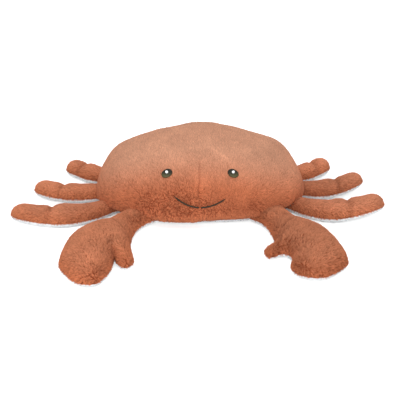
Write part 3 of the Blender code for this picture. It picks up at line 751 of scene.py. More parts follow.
@dataclass(frozen=True)
class Body:
    """The crab's domed body: a rust carapace over a flat white belly."""

    half_width: float = 131.0 * MM
    half_depth: float = 87.0 * MM
    height: float = 97.0 * MM
    widest_height: float = 16.5 * MM
    squareness: float = 2.55
    crown_squareness: float = 1.87
    seam_height: float = 7.0 * MM
    seam_tuck: float = 10.0 * MM
    belly_edge_round: float = 14.0 * MM
    clearance: float = 0.3 * MM
    dart_top: float = 79.0 * MM
    dart_bottom: float = 27.0 * MM
    dart_depth: float = 2.2 * MM
    dart_width: float = 1.0 * MM
    dart_line: tuple[tuple[float, float], ...] = (  # heights and how far the seam strays from the middle there
        (30, -0.3), (42, -2.3), (52, -1.7), (57, 0.2), (62, -0.6), (73, 0.3), (79, 0.3),
    )
    crease_width: float = 3.0  # a fold narrower than this, in millimetres, is a crease, which parts the pile
    crease_bare: float = 0.4
    # Painted shade in creases and painted highlight along ridges.
    crease_painted_shade: float = -0.7
    ridge_painted_highlight: float = 0.4
    unevenness: tuple[tuple[float, float], ...] = ((0.7 * MM, 38 * MM), (0.35 * MM, 14 * MM))  # height and size
    stroke_tone: float = 0.22  # how pale or dark a hand's strokes leave the pile
    stroke_size: float = 27.0 * MM
    right_side_painted_sheen: float = 0.3  # painted sheen: the right side is painted paler, as pile brushed towards the light
    mouth_dent: float = 0.9 * MM  # the thread presses the face in, over so wide
    mouth_dent_width: float = 2.6 * MM
    mouth_bare: float = 0.65  # and holds the pile down
    mouth_bare_width: float = 2.2 * MM
    eye_dent: float = 1.0 * MM
    eye_dent_width: float = 9.0 * MM
    eye_bare: float = 0.6
    eye_bare_width: float = 5.6 * MM
    standing_top: float = 66.0 * MM  # below this height the pile starts to stand
    standing_fade: float = 50.0 * MM
    standing_right: float = 30.0 * MM  # and it stands more to the left of this place
    standing_across: float = 60.0 * MM
    flank_from: float = -62.0 * MM  # left of here it lies smoother again
    flank_across: float = 46.0 * MM
    eye_from_middle: float = 39.6 * MM
    eye_height: float = 64.0 * MM
    smile_half_width: float = 31.0 * MM
    smile_low_height: float = 28.5 * MM
    smile_rise: float = 10.2 * MM
    smile_rise_left: float = 12.8 * MM
    folds: tuple[Fold, ...] = (
        Fold((-106.0, 30.0, 58.0), (-106.0, 24.0, 56.0), 19.0, 3.8),
        Fold((95.0, 32.0, 64.0), (97.0, 26.0, 62.0), 22.0, 4.6),
        Fold((-60.0, 34.0, 82.0), (-40.0, 34.0, 86.0), 20.0, -1.9),
        Fold((-6.0, 30.0, 91.0), (12.0, 30.0, 91.0), 15.0, 2.0),
        Fold((60.0, 32.0, 82.0), (84.0, 30.0, 70.0), 16.0, -1.0),
        Fold((-46.0, -80.0, 10.0), (-10.0, -82.0, 10.0), 10.0, 2.6),
        Fold((28.0, -82.0, 8.0), (62.0, -77.0, 8.0), 9.0, -1.3),
        Fold((96.0, -60.0, 11.0), (114.0, -44.0, 12.0), 12.0, -4.5),
        Fold((-112.0, -50.0, 11.0), (-98.0, -60.0, 11.0), 10.0, -2.0),
        Fold((9.6, -41.9, 84.2), (37.1, -60.2, 68.6), 1.6, -1.2),
        Fold((12.6, -40.9, 86.0), (40.1, -58.9, 71.2), 2.6, 0.7),
        Fold((46.5, -73.0, 52.0), (50.0, -76.0, 40.0), 4.5, -1.0),
        Fold((49.0, -66.0, 60.0), (54.0, -66.5, 57.0), 5.0, 0.8),
        Fold((-18.0, -79.0, 44.0), (18.0, -79.0, 44.0), 12.0, 1.0),
        Fold((-50.0, -76.0, 34.0), (-62.0, -72.0, 32.0), 13.0, 1.2),
        Fold((54.0, -76.0, 30.0), (66.0, -72.0, 30.0), 12.0, 1.2),
        Fold((114.0, -30.0, 50.0), (121.0, -28.0, 38.0), 2.2, 2.2),
        Fold((121.0, -28.0, 38.0), (122.5, -34.0, 20.0), 2.2, 2.0),
        Fold((109.0, -40.0, 40.0), (116.5, -43.0, 22.0), 2.0, 1.7),
        Fold((118.0, -31.0, 36.0), (119.0, -37.0, 20.0), 1.6, -1.2),
        Fold((-60.0, -50.0, 70.0), (60.0, -50.0, 70.0), 6.0, -0.5),
        Fold((-30.0, 66.0, 52.0), (-10.0, 74.0, 38.0), 8.0, -0.9),
        Fold((40.0, 70.0, 44.0), (66.0, 60.0, 46.0), 9.0, -0.9),
    )
    columns: int = 120
    crown_rows: int = 40
    crown_pile_from: float = -38.0 * MM
    back_pile_from: float = 18.0 * MM

    def half_sizes(self, height: np.ndarray) -> tuple[np.ndarray, np.ndarray]:
        """Gives the outline's half width and half depth at a height.

        Args:
            height: heights above the floor.

        Returns:
            The half widths and the half depths.
        """
        up = np.clip((height - self.widest_height) / (self.height - self.widest_height), 0.0, 1.0)
        share = (1.0 - up**self.crown_squareness) ** (1 / self.crown_squareness)
        down = np.clip((self.widest_height - height) / (self.widest_height - self.seam_height), 0.0, 1.0)
        tuck = self.seam_tuck * down**2
        return self.half_width * share - tuck, self.half_depth * share - tuck

    def covers(self, points: np.ndarray, margin: float) -> np.ndarray:
        """Tells which places lie inside the body.

        Args:
            points: places, in metres.
            margin: how far inside they have to lie.

        Returns:
            True for each place inside.
        """
        half_width, half_depth = self.half_sizes(np.maximum(points[:, 2], self.seam_height))
        half_width = np.maximum(half_width - margin, 1e-6)
        half_depth = np.maximum(half_depth - margin, 1e-6)
        power = self.squareness
        reach = np.abs(points[:, 0] / half_width) ** power + np.abs(points[:, 1] / half_depth) ** power
        return (reach < 1.0) & (points[:, 2] < self.height)

    def face_point(self, x: np.ndarray, z: np.ndarray) -> np.ndarray:
        """Gives places on the carapace's front.

        Args:
            x: places across.
            z: heights.

        Returns:
            One place in a row.
        """
        half_width, half_depth = self.half_sizes(np.asarray(z, dtype=float))
        power = self.squareness
        inner = np.clip(1.0 - np.abs(x / half_width) ** power, 0.0, 1.0)
        y = -half_depth * inner ** (1 / power)
        return np.column_stack([x, y, z])

    def face_normal(self, x: np.ndarray, z: np.ndarray) -> np.ndarray:
        """Gives the outward directions on the carapace's front.

        Args:
            x: places across.
            z: heights.

        Returns:
            One direction in a row.
        """
        step = 0.5 * MM
        across = self.face_point(x + step, z) - self.face_point(x - step, z)
        up = self.face_point(x, z + step) - self.face_point(x, z - step)
        return unit(np.cross(across, up))

    def smile_height(self, x: np.ndarray) -> np.ndarray:
        """Gives the smile's height at a place across."""
        rise = np.where(x < 0.0, self.smile_rise_left, self.smile_rise)
        return self.smile_low_height + rise * (x / self.smile_half_width) ** 2

    def ring(self, angle: np.ndarray, half_width: float, half_depth: float, z: float) -> np.ndarray:
        """Gives one ring of the outline.

        Args:
            angle: the columns' directions.
            half_width: the ring's reach along X.
            half_depth: its reach along Y.
            z: its height.

        Returns:
            One point in each direction.
        """
        across = np.abs(np.cos(angle) / half_width) ** self.squareness
        along = np.abs(np.sin(angle) / half_depth) ** self.squareness
        reach = (across + along) ** (-1 / self.squareness)
        return np.column_stack([reach * np.cos(angle), reach * np.sin(angle), np.full(len(angle), z)])

    def angles(self) -> np.ndarray:
        """Spreads the carapace's columns, closest together at the dart.

        Returns:
            The columns' directions, in radians.
        """
        even = np.linspace(0.0, 2 * math.pi, self.columns, endpoint=False) - math.pi / 2
        near = np.linspace(-9.0, 9.0, 25) * MM / self.half_depth - math.pi / 2
        away = np.abs((even + math.pi / 2 + math.pi) % (2 * math.pi) - math.pi)
        return np.sort(np.concatenate([even[away > 10.0 * MM / self.half_depth], near]))

    @staticmethod
    def ring_triangles(count: int, rows: int) -> list[tuple[int, int, int]]:
        """Gives the faces between rings that follow each other upwards and inwards.

        Args:
            count: how many points a ring has.
            rows: how many rings there are.

        Returns:
            The corner numbers of each face.
        """
        faces = []
        for row in range(rows - 1):
            for i in range(count):
                after = (i + 1) % count
                low, high = row * count, (row + 1) * count
                faces += [(low + i, low + after, high + after), (low + i, high + after, high + i)]
        return faces

    def relief(self, points: np.ndarray, scatter: Scatter) -> tuple[np.ndarray, np.ndarray, np.ndarray]:
        """Gives the carapace's folds, dents and lumps.

        Args:
            points: places on the plain surface.
            scatter: the noise to draw from.

        Returns:
            How far each place moves out, how long its pile is as a share, and how much paler or darker it is
            painted: random strokes, painted sheen on the right side, painted shade in creases and the dart, and
                painted highlight on ridges and the dart's lips.
        """
        x, y, z = points.T
        front = smooth_step((-y - 20 * MM) / (15 * MM))
        out = sum(height * scatter.smooth(points, size) for height, size in self.unevenness)
        cover, tone = np.ones(len(points)), self.stroke_tone * scatter.smooth(points, self.stroke_size)
        # Painted sheen on the right side.
        right_side = smooth_step((x - 96 * MM) / (16 * MM)) * smooth_step((z - 24 * MM) / (14 * MM))
        tone += self.right_side_painted_sheen * right_side
        dart_out, dart_cover, dart_tone = self.dart(x, z, front)
        out, cover, tone = out + dart_out, cover + dart_cover, tone + dart_tone
        from_mouth = z - self.smile_height(x)
        along = smooth_step((self.smile_half_width + 3 * MM - np.abs(x)) / (4 * MM)) * front
        out -= along * self.mouth_dent * nearness(from_mouth, self.mouth_dent_width)
        cover -= along * self.mouth_bare * nearness(from_mouth, self.mouth_bare_width)
        for side in Side:
            from_eye = np.hypot(x - side.value * self.eye_from_middle, z - self.eye_height)
            out -= front * self.eye_dent * nearness(from_eye, self.eye_dent_width)
            cover -= front * self.eye_bare * np.exp(-((from_eye / self.eye_bare_width) ** 4))
        for fold in self.folds:
            near = fold.near(points)
            out += fold.rise * MM * near
            if fold.width < self.crease_width:
                cover -= self.crease_bare * near * (fold.rise < 0.0)
                tone += near * (self.crease_painted_shade if fold.rise < 0.0 else self.ridge_painted_highlight)
        return out, cover, tone

    def dart(self, x: np.ndarray, z: np.ndarray, front: np.ndarray) -> tuple[np.ndarray, np.ndarray, np.ndarray]:
        """Gives what the dart does to the face: a groove between puckered sides, where the pile parts.

        Args:
            x: places across.
            z: heights.
            front: one on the face and zero on the back.

        Returns:
            How far each place moves out, and what the dart adds to the pile's length and tone: painted shade along
            the groove and painted highlight on the lips beside it.
        """
        ends = smooth_step((self.dart_top - z) / (10 * MM)) * smooth_step((z - self.dart_bottom) / (5 * MM)) * front
        heights, places = np.array(self.dart_line).T * MM
        aside = np.abs(x - np.interp(z, heights, places))
        depth = 0.6 + 0.4 * smooth_step((62 * MM - z) / (20 * MM))
        groove = self.dart_depth * nearness(aside, self.dart_width) + 0.9 * MM * nearness(x, 6 * MM)
        pucker = nearness(np.abs(x) - 6 * MM, 4 * MM) * np.sin(z / (2.6 * MM) + np.sign(x))
        cover = -ends * 0.7 * nearness(aside, 1.1 * MM)
        # Painted shade along the groove, painted highlight on its lips.
        parting = (0.3 + 0.7 * depth) * nearness(aside, 1.0 * MM)
        lip_highlight = depth * 0.35 * nearness(aside - 3.2 * MM, 1.4 * MM) * (z < 60 * MM)
        return ends * depth * (0.4 * MM * pucker - groove), cover, ends * (lip_highlight - parting)

    def capped(self, rings: list[np.ndarray], pole_height: float) -> tuple[np.ndarray, np.ndarray]:
        """Joins rings to one surface that ends in a point.

        Args:
            rings: the rings, each inside the one before.
            pole_height: the point's height.

        Returns:
            The surface's points and faces.
        """
        count = len(rings[0])
        last, pole = (len(rings) - 1) * count, len(rings) * count
        triangles = self.ring_triangles(count, len(rings))
        triangles += [(last + i, last + (i + 1) % count, pole) for i in range(count)]
        return np.vstack([*rings, [[0.0, 0.0, pole_height]]]), np.array(triangles)

    def standing(self, points: np.ndarray, scatter: Scatter) -> np.ndarray:
        """Gives how far the carapace's pile stands: most on the lower front, left of the dart.

        Args:
            points: places on the carapace.
            scatter: the noise to draw from.

        Returns:
            One value for each place, up to one where the pile stands.
        """
        to_left = smooth_step((self.standing_right - points[:, 0]) / self.standing_across)
        flank = smooth_step((self.flank_from - points[:, 0]) / self.flank_across)
        top = self.standing_top + 8 * MM * to_left * (1.0 - flank)
        low = smooth_step((top - points[:, 2]) / self.standing_fade)
        most = (0.42 + 0.56 * to_left) * (1.0 - 0.45 * flank)
        raised = 0.05 + most * low + (0.08 + 0.22 * low) * scatter.smooth(points, 17 * MM)
        raised *= 0.65 + 0.35 * smooth_step((-points[:, 1] + 20 * MM) / (40 * MM))
        return np.clip(raised, 0.03, 1.0)

    def carapace(self, scatter: Scatter) -> Sheet:
        """Makes the carapace's surface, from its edge up to the crown.

        Args:
            scatter: the noise to draw from.

        Returns:
            The surface with its pile.
        """
        angle = self.angles()
        rings = []
        for down in (1.0, 0.75, 0.5, 0.25):
            drop, tuck = (self.widest_height - self.seam_height) * down, self.seam_tuck * down**2
            size = self.half_width - tuck, self.half_depth - tuck
            rings.append(self.ring(angle, *size, self.widest_height - drop))
        for row in range(self.crown_rows, 0, -1):
            turn = math.pi / 2 * row / self.crown_rows
            share = math.sin(turn) ** (2 / self.crown_squareness)
            up = math.cos(turn) ** (2 / self.crown_squareness) if row < self.crown_rows else 0.0
            size = self.half_width * share, self.half_depth * share
            rings.append(self.ring(angle, *size, self.widest_height + (self.height - self.widest_height) * up))
        points, triangles = self.capped(rings, self.height)
        out = Sheet.bare(points, triangles).normals()
        moved, cover, tone = self.relief(points, scatter)
        nap, raised = self.nap(points, scatter), self.standing(points, scatter)
        return Sheet(points + out * moved[:, None], triangles, nap, raised, cover, tone)

    @staticmethod
    def nap(points: np.ndarray, scatter: Scatter) -> np.ndarray:
        """Gives how the carapace's pile is brushed: backwards all over, and down along the lower edge.

        Args:
            points: places on the carapace.
            scatter: the noise to draw from.

        Returns:
            One direction for each place. Where it is short, the pile stands.
        """
        height = points[:, 2]
        low = smooth_step((30 * MM - height) / (22 * MM))
        swirl = 0.5 * scatter.smooth(points, 30 * MM) + 0.25 * scatter.smooth(points, 12 * MM)
        back = np.column_stack([swirl, np.ones(len(points)), np.zeros(len(points))])
        hang = np.array([0.0, 0.0, -0.9]) * low[:, None]
        return back * (1.0 - low)[:, None] + hang

    def belly(self) -> Sheet:
        """Makes the belly's surface, from its edge down to the flat that lies on the floor.

        Returns:
            The surface with its pile.
        """
        angle = np.linspace(0.0, 2 * math.pi, 120, endpoint=False)
        rings = []
        for turn in np.linspace(0.0, 90.0, 7):
            inset = self.seam_tuck + self.belly_edge_round * (1.0 - math.cos(math.radians(turn)))
            z = (self.seam_height - self.clearance) * (1.0 - math.sin(math.radians(turn)))
            rings.append(self.ring(angle, self.half_width - inset, self.half_depth - inset, z))
        for share in np.linspace(1.0, 0.0, 15)[1:-1]:
            rings.append(rings[6] * np.array([share, share, 1.0]))
        points, triangles = self.capped(rings, 0.0)
        nap = np.tile([0.0, 1.0, 0.0], (len(points), 1))
        raised = np.where(points[:, 2] > 1 * MM, 0.5, 0.05)
        whole = np.ones(len(points))
        return Sheet(points, triangles[:, ::-1], nap, raised, whole, np.zeros(len(points)))

    def build(self, rust: PileFinish, white: PileFinish) -> list[bpy.types.Object]:
        """Makes the body's backing and pile.

        Args:
            rust: the finish of the carapace.
            white: the finish of the belly.

        Returns:
            The new pieces.
        """
        fabric = Fabric()
        rust_pile, white_pile = rust.make(), white.make()
        sheet = self.carapace(Scatter(11)).settled(fabric.backing_depth)
        backing = fabric.add_backing("carapace_backing", sheet, rust_pile)
        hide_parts("carapace")
        pieces = [backing]
        middle = sheet.points[sheet.triangles].mean(axis=1)[:, 1]
        parts = {
            "face_pile": middle < self.crown_pile_from,
            "crown_pile": (middle >= self.crown_pile_from) & (middle < self.back_pile_from),
            "back_pile": middle >= self.back_pile_from,
        }
        for seed, (name, chosen) in enumerate(parts.items(), 21):
            part = replace(sheet, triangles=sheet.triangles[chosen])
            cloth = replace(fabric, tufts_per_mm2=1.05, tuft_width=1.15 * MM) if name == "back_pile" else fabric
            pile = cloth.grow(name, part, rust_pile, seed)
            pieces.append(pile)
        thin = replace(THIN_WHITE, tufts_per_mm2=0.36, tuft_length=3.2 * MM)
        under = self.belly().settled(thin.backing_depth)
        belly_backing = thin.add_backing("belly_backing", under, white_pile)
        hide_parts("belly")
        belly_pile = thin.grow("belly_pile", under, white_pile, 31)
        return pieces + [belly_backing, belly_pile]


@dataclass(frozen=True)
class Limb:
    """What legs and claws share: two panels that meet at a seam and end at the body."""

    side: Side
    root_reach: float = 24.0 * MM
    under_sag: float = 9.0 * MM
    under_rounding: float = 0.6
    shade: float = 0.0  # painted light and shade: how much paler this limb is painted than the others, as much as the photograph shows it paler, darker below zero
    hidden_margin: float = 3.0 * MM  # how far inside the body the panels end
    stroke_size: float = 20.0 * MM
    stroke_tone: float = 0.25
    crease_painted_shade: float = -0.65  # painted shade: a crease is painted darker than the pile round it
    crease_bare: float = 0.45  # and its pile is pressed in
    body: Body = Body()

    def placed(self, points: np.ndarray, root: tuple[float, float], turn: float) -> np.ndarray:
        """Turns plan points about the limb's root and puts the root in its place.

        Args:
            points: plan points, two columns.
            root: the root's place on the floor.
            turn: the limb's heading, in radians.

        Returns:
            Plan points in the toy's frame.
        """
        cos, sin = math.cos(turn), math.sin(turn)
        return points @ np.array([[cos, sin], [-sin, cos]]) + np.array(root)

    def seam_outline(self, other: float, across: bool) -> float:
        """Gives how far out the body's seam lies.

        Args:
            other: a place along Y if the reach is asked along X, or along X if it is asked along Y.
            across: true for the reach along X.

        Returns:
            The distance from the body's middle line.
        """
        half_width = self.body.half_width - self.body.seam_tuck
        half_depth = self.body.half_depth - self.body.seam_tuck
        this, that = (half_width, half_depth) if across else (half_depth, half_width)
        return this * (1.0 - abs(other / that) ** self.body.squareness) ** (1 / self.body.squareness)

    def sheets(
        self,
        plan: np.ndarray,
        triangles: np.ndarray,
        fullness: np.ndarray,
        crown: float,
        rise: np.ndarray,
        nap: np.ndarray,
        raised: np.ndarray,
        creased: np.ndarray,
    ) -> tuple[Sheet, Sheet]:
        """Fills a plan out to its top and under surfaces, ended inside the body.

        Args:
            plan: plan points in the toy's frame.
            triangles: the plan's faces, anticlockwise from above.
            fullness: how full the limb is at each point.
            crown: how far the top rises over the seam where it is fullest.
            rise: how far the seam lies above its lowest height.
            nap: plan directions of the pile.
            raised: how far the pile stands.
            creased: how near the top's creases are, up to one on them.

        Returns:
            The top and the under sheet.
        """
        seam = self.body.seam_height + rise
        top = np.column_stack([plan, seam + crown * fullness])
        low = seam - self.body.clearance - self.under_sag * fullness**self.under_rounding
        under = np.column_stack([plan, np.maximum(low, 0.0)])
        rim = np.clip(1.0 - fullness * 1.6, 0.0, 1.0)
        brushed = np.column_stack([nap * (1.0 - 0.6 * rim)[:, None], -1.1 * rim])
        stroked = self.stroke_tone * Scatter(77).smooth(top, self.stroke_size)
        # Painted light and shade for the whole limb, random strokes, and painted shade in its creases.
        tone = self.shade + stroked + self.crease_painted_shade * creased
        upper = Sheet(top, triangles, brushed, raised, 1.0 - self.crease_bare * creased, tone)
        short = 1.0 - 0.6 * np.clip(1.0 - fullness * 2.2, 0.0, 1.0)
        flat = np.column_stack([nap, np.zeros(len(nap))])
        lower = Sheet(under, triangles[:, ::-1], flat, raised * 0.2, short, np.zeros(len(short)))
        inside_top, inside_under = (self.body.covers(points, self.hidden_margin) for points in (top, under))
        return upper.without(inside_top), lower.without(inside_under)

    @staticmethod
    def dress(
        name: str, top: Sheet, under: Sheet, rust: bpy.types.Material, white: bpy.types.Material, seed: int
    ) -> list[bpy.types.Object]:
        """Makes the limb's backings and pile.

        Args:
            name: the limb's name in node names.
            top: the top panel's surface.
            under: the under panel's surface.
            rust: the top's finish.
            white: the under panel's finish.
            seed: picks the tufts' places.

        Returns:
            The new pieces.
        """
        pieces = []
        for part, cloth, sheet, finish in (("top", Fabric(), top, rust), ("under", THIN_WHITE, under, white)):
            node = f"{name}_{part}"
            sheet = sheet.settled(cloth.backing_depth)
            backing = cloth.add_backing(f"{node}_backing", sheet, finish)
            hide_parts(node)
            pile = cloth.grow(f"{node}_pile", sheet, finish, seed + len(pieces))
            for piece in (backing, pile):
                pieces.append(piece)
        return pieces


@dataclass(frozen=True)
class Leg(Limb):
    """One of the six legs: a bent tube, creased where it was stuffed last."""

    place: str = "front"
    thigh: float = 40.0 * MM
    shin: float = 36.0 * MM
    foot: float = 51.0 * MM
    root_width: float = 27.0 * MM
    knee_width: float = 37.0 * MM
    foot_width: float = 28.5 * MM
    crown: float = 16.0 * MM
    root_y: float = 0.0
    headings: tuple[float, float, float] = (0.0, 0.0, 0.0)
    tip_rise: float = 1.0 * MM
    stretch: float = 1.0
    tip_round: float = 17.0 * MM
    crease_depth: float = 0.16
    crease_width: float = 6.0 * MM
    fold_depth: float = 0.12  # the sharp fold at the bottom of the crease
    fold_width: float = 2.0 * MM
    fold_slant: float = 1.5 * MM
    parting_width: float = 1.8 * MM
    columns: int = 18
    station_step: float = 2.6 * MM

    def middle_line(self, fine: np.ndarray, heading: np.ndarray) -> np.ndarray:
        """Follows the leg's bends from its root.

        Args:
            fine: places along the leg.
            heading: the leg's heading there, in radians.

        Returns:
            The plan places of the leg's middle, with the seam at zero.
        """
        line = np.column_stack([np.cumsum(np.cos(heading)), np.cumsum(np.sin(heading))]) * (fine[1] - fine[0])
        return line - np.array([np.interp(0.0, fine, line[:, 0]), np.interp(0.0, fine, line[:, 1])])

    def stations(self, straight_end: float) -> np.ndarray:
        """Gives the places of the leg's cross-sections, closest together at its round tip.

        Args:
            straight_end: where the round tip starts.

        Returns:
            Places along the leg.
        """
        even = np.arange(-self.root_reach, straight_end, self.station_step)
        rounded = straight_end + self.tip_round * np.sin(np.radians(np.linspace(0.0, 84.0, 11)))
        return np.concatenate([even[even < straight_end - 0.5 * MM], rounded])

    def plan_faces(self, rows: int) -> np.ndarray:
        """Gives the faces between the cross-sections, and those from the last one to the tip.

        Args:
            rows: how many cross-sections there are.

        Returns:
            The corner numbers of each face.
        """
        across = self.columns + 1
        low = (np.arange(rows - 1)[:, None] * across + np.arange(self.columns)[None, :]).ravel()
        high = low + across
        last = (rows - 1) * across + np.arange(self.columns)
        tip = np.full(self.columns, rows * across)
        corners = ((low, high, high + 1), (low, high + 1, low + 1), (last, tip, last + 1))
        return np.vstack([np.column_stack(three) for three in corners])

    def build(self, rust: bpy.types.Material, white: bpy.types.Material, seed: int) -> list[bpy.types.Object]:
        """Makes the leg's pieces.

        Args:
            rust: the top's finish.
            white: the under panel's finish.
            seed: picks the tufts' places.

        Returns:
            The new pieces.
        """
        thigh, shin, foot = (length * self.stretch for length in (self.thigh, self.shin, self.foot))
        length, knee, crease = thigh + shin + foot, thigh + shin / 2, thigh + shin
        turned = [self.side.value * heading for heading in self.headings]
        fine = np.linspace(-self.root_reach, length, 400)
        heading = np.radians(np.interp(fine, [thigh / 2, knee, length - foot / 2], turned))
        line = self.middle_line(fine, heading)
        stations = self.stations(length - self.tip_round)
        rows, across = len(stations), -np.cos(np.linspace(0.0, math.pi, self.columns + 1))
        place, share = np.repeat(stations, len(across)), np.tile(across, rows)
        turn = np.interp(place, fine, heading)
        centre = np.column_stack([np.interp(place, fine, line[:, 0]), np.interp(place, fine, line[:, 1])])
        to_tip = np.clip((place - (length - self.tip_round)) / self.tip_round, 0.0, 1.0)
        narrowing = np.sqrt(1.0 - to_tip**2)
        width = np.interp(place, [0.0, knee, length], [self.root_width, self.knee_width, self.foot_width])
        sideways = np.column_stack([-np.sin(turn), np.cos(turn)])
        wobble = Scatter(seed).smooth(np.column_stack([place, share * 0.01, np.zeros(len(place))]), 16 * MM)
        plan = centre + sideways * (width / 2 * narrowing * share * (1.0 + 0.045 * wobble))[:, None]
        from_fold = place - crease - self.fold_slant * share
        creased = 1.0 - self.crease_depth * nearness(place - crease, self.crease_width)
        creased -= self.fold_depth * nearness(from_fold, self.fold_width)
        full = np.sqrt(np.clip(1.0 - share**2, 0.0, 1.0)) * narrowing * creased * width / self.knee_width
        full *= 1.0 + 0.05 * wobble
        rise = self.tip_rise * smooth_step((place - thigh) / (length - thigh))
        plan = np.vstack([plan, line[-1]])
        full, rise, turn = np.append(full, 0.0), np.append(rise, self.tip_rise), np.append(turn, turn[-1])
        root = (self.side.value * self.seam_outline(self.root_y, True), self.root_y)
        facing = 0.0 if self.side is Side.RIGHT else math.pi
        nap = np.column_stack([np.cos(turn + facing), np.sin(turn + facing)])
        raised = np.clip(0.6 - 0.3 * full, 0.1, 1.0)
        # The fold parts the pile, which is pressed in there and painted darker, a painted shade.
        parting = np.append(nearness(from_fold, self.parting_width), 0.0)
        placed = self.placed(plan, root, facing)
        top, under = self.sheets(placed, self.plan_faces(rows), full, self.crown, rise, nap, raised, parting)
        return self.dress(f"{self.side.word}_{self.place}_leg", top, under, rust, white, seed)


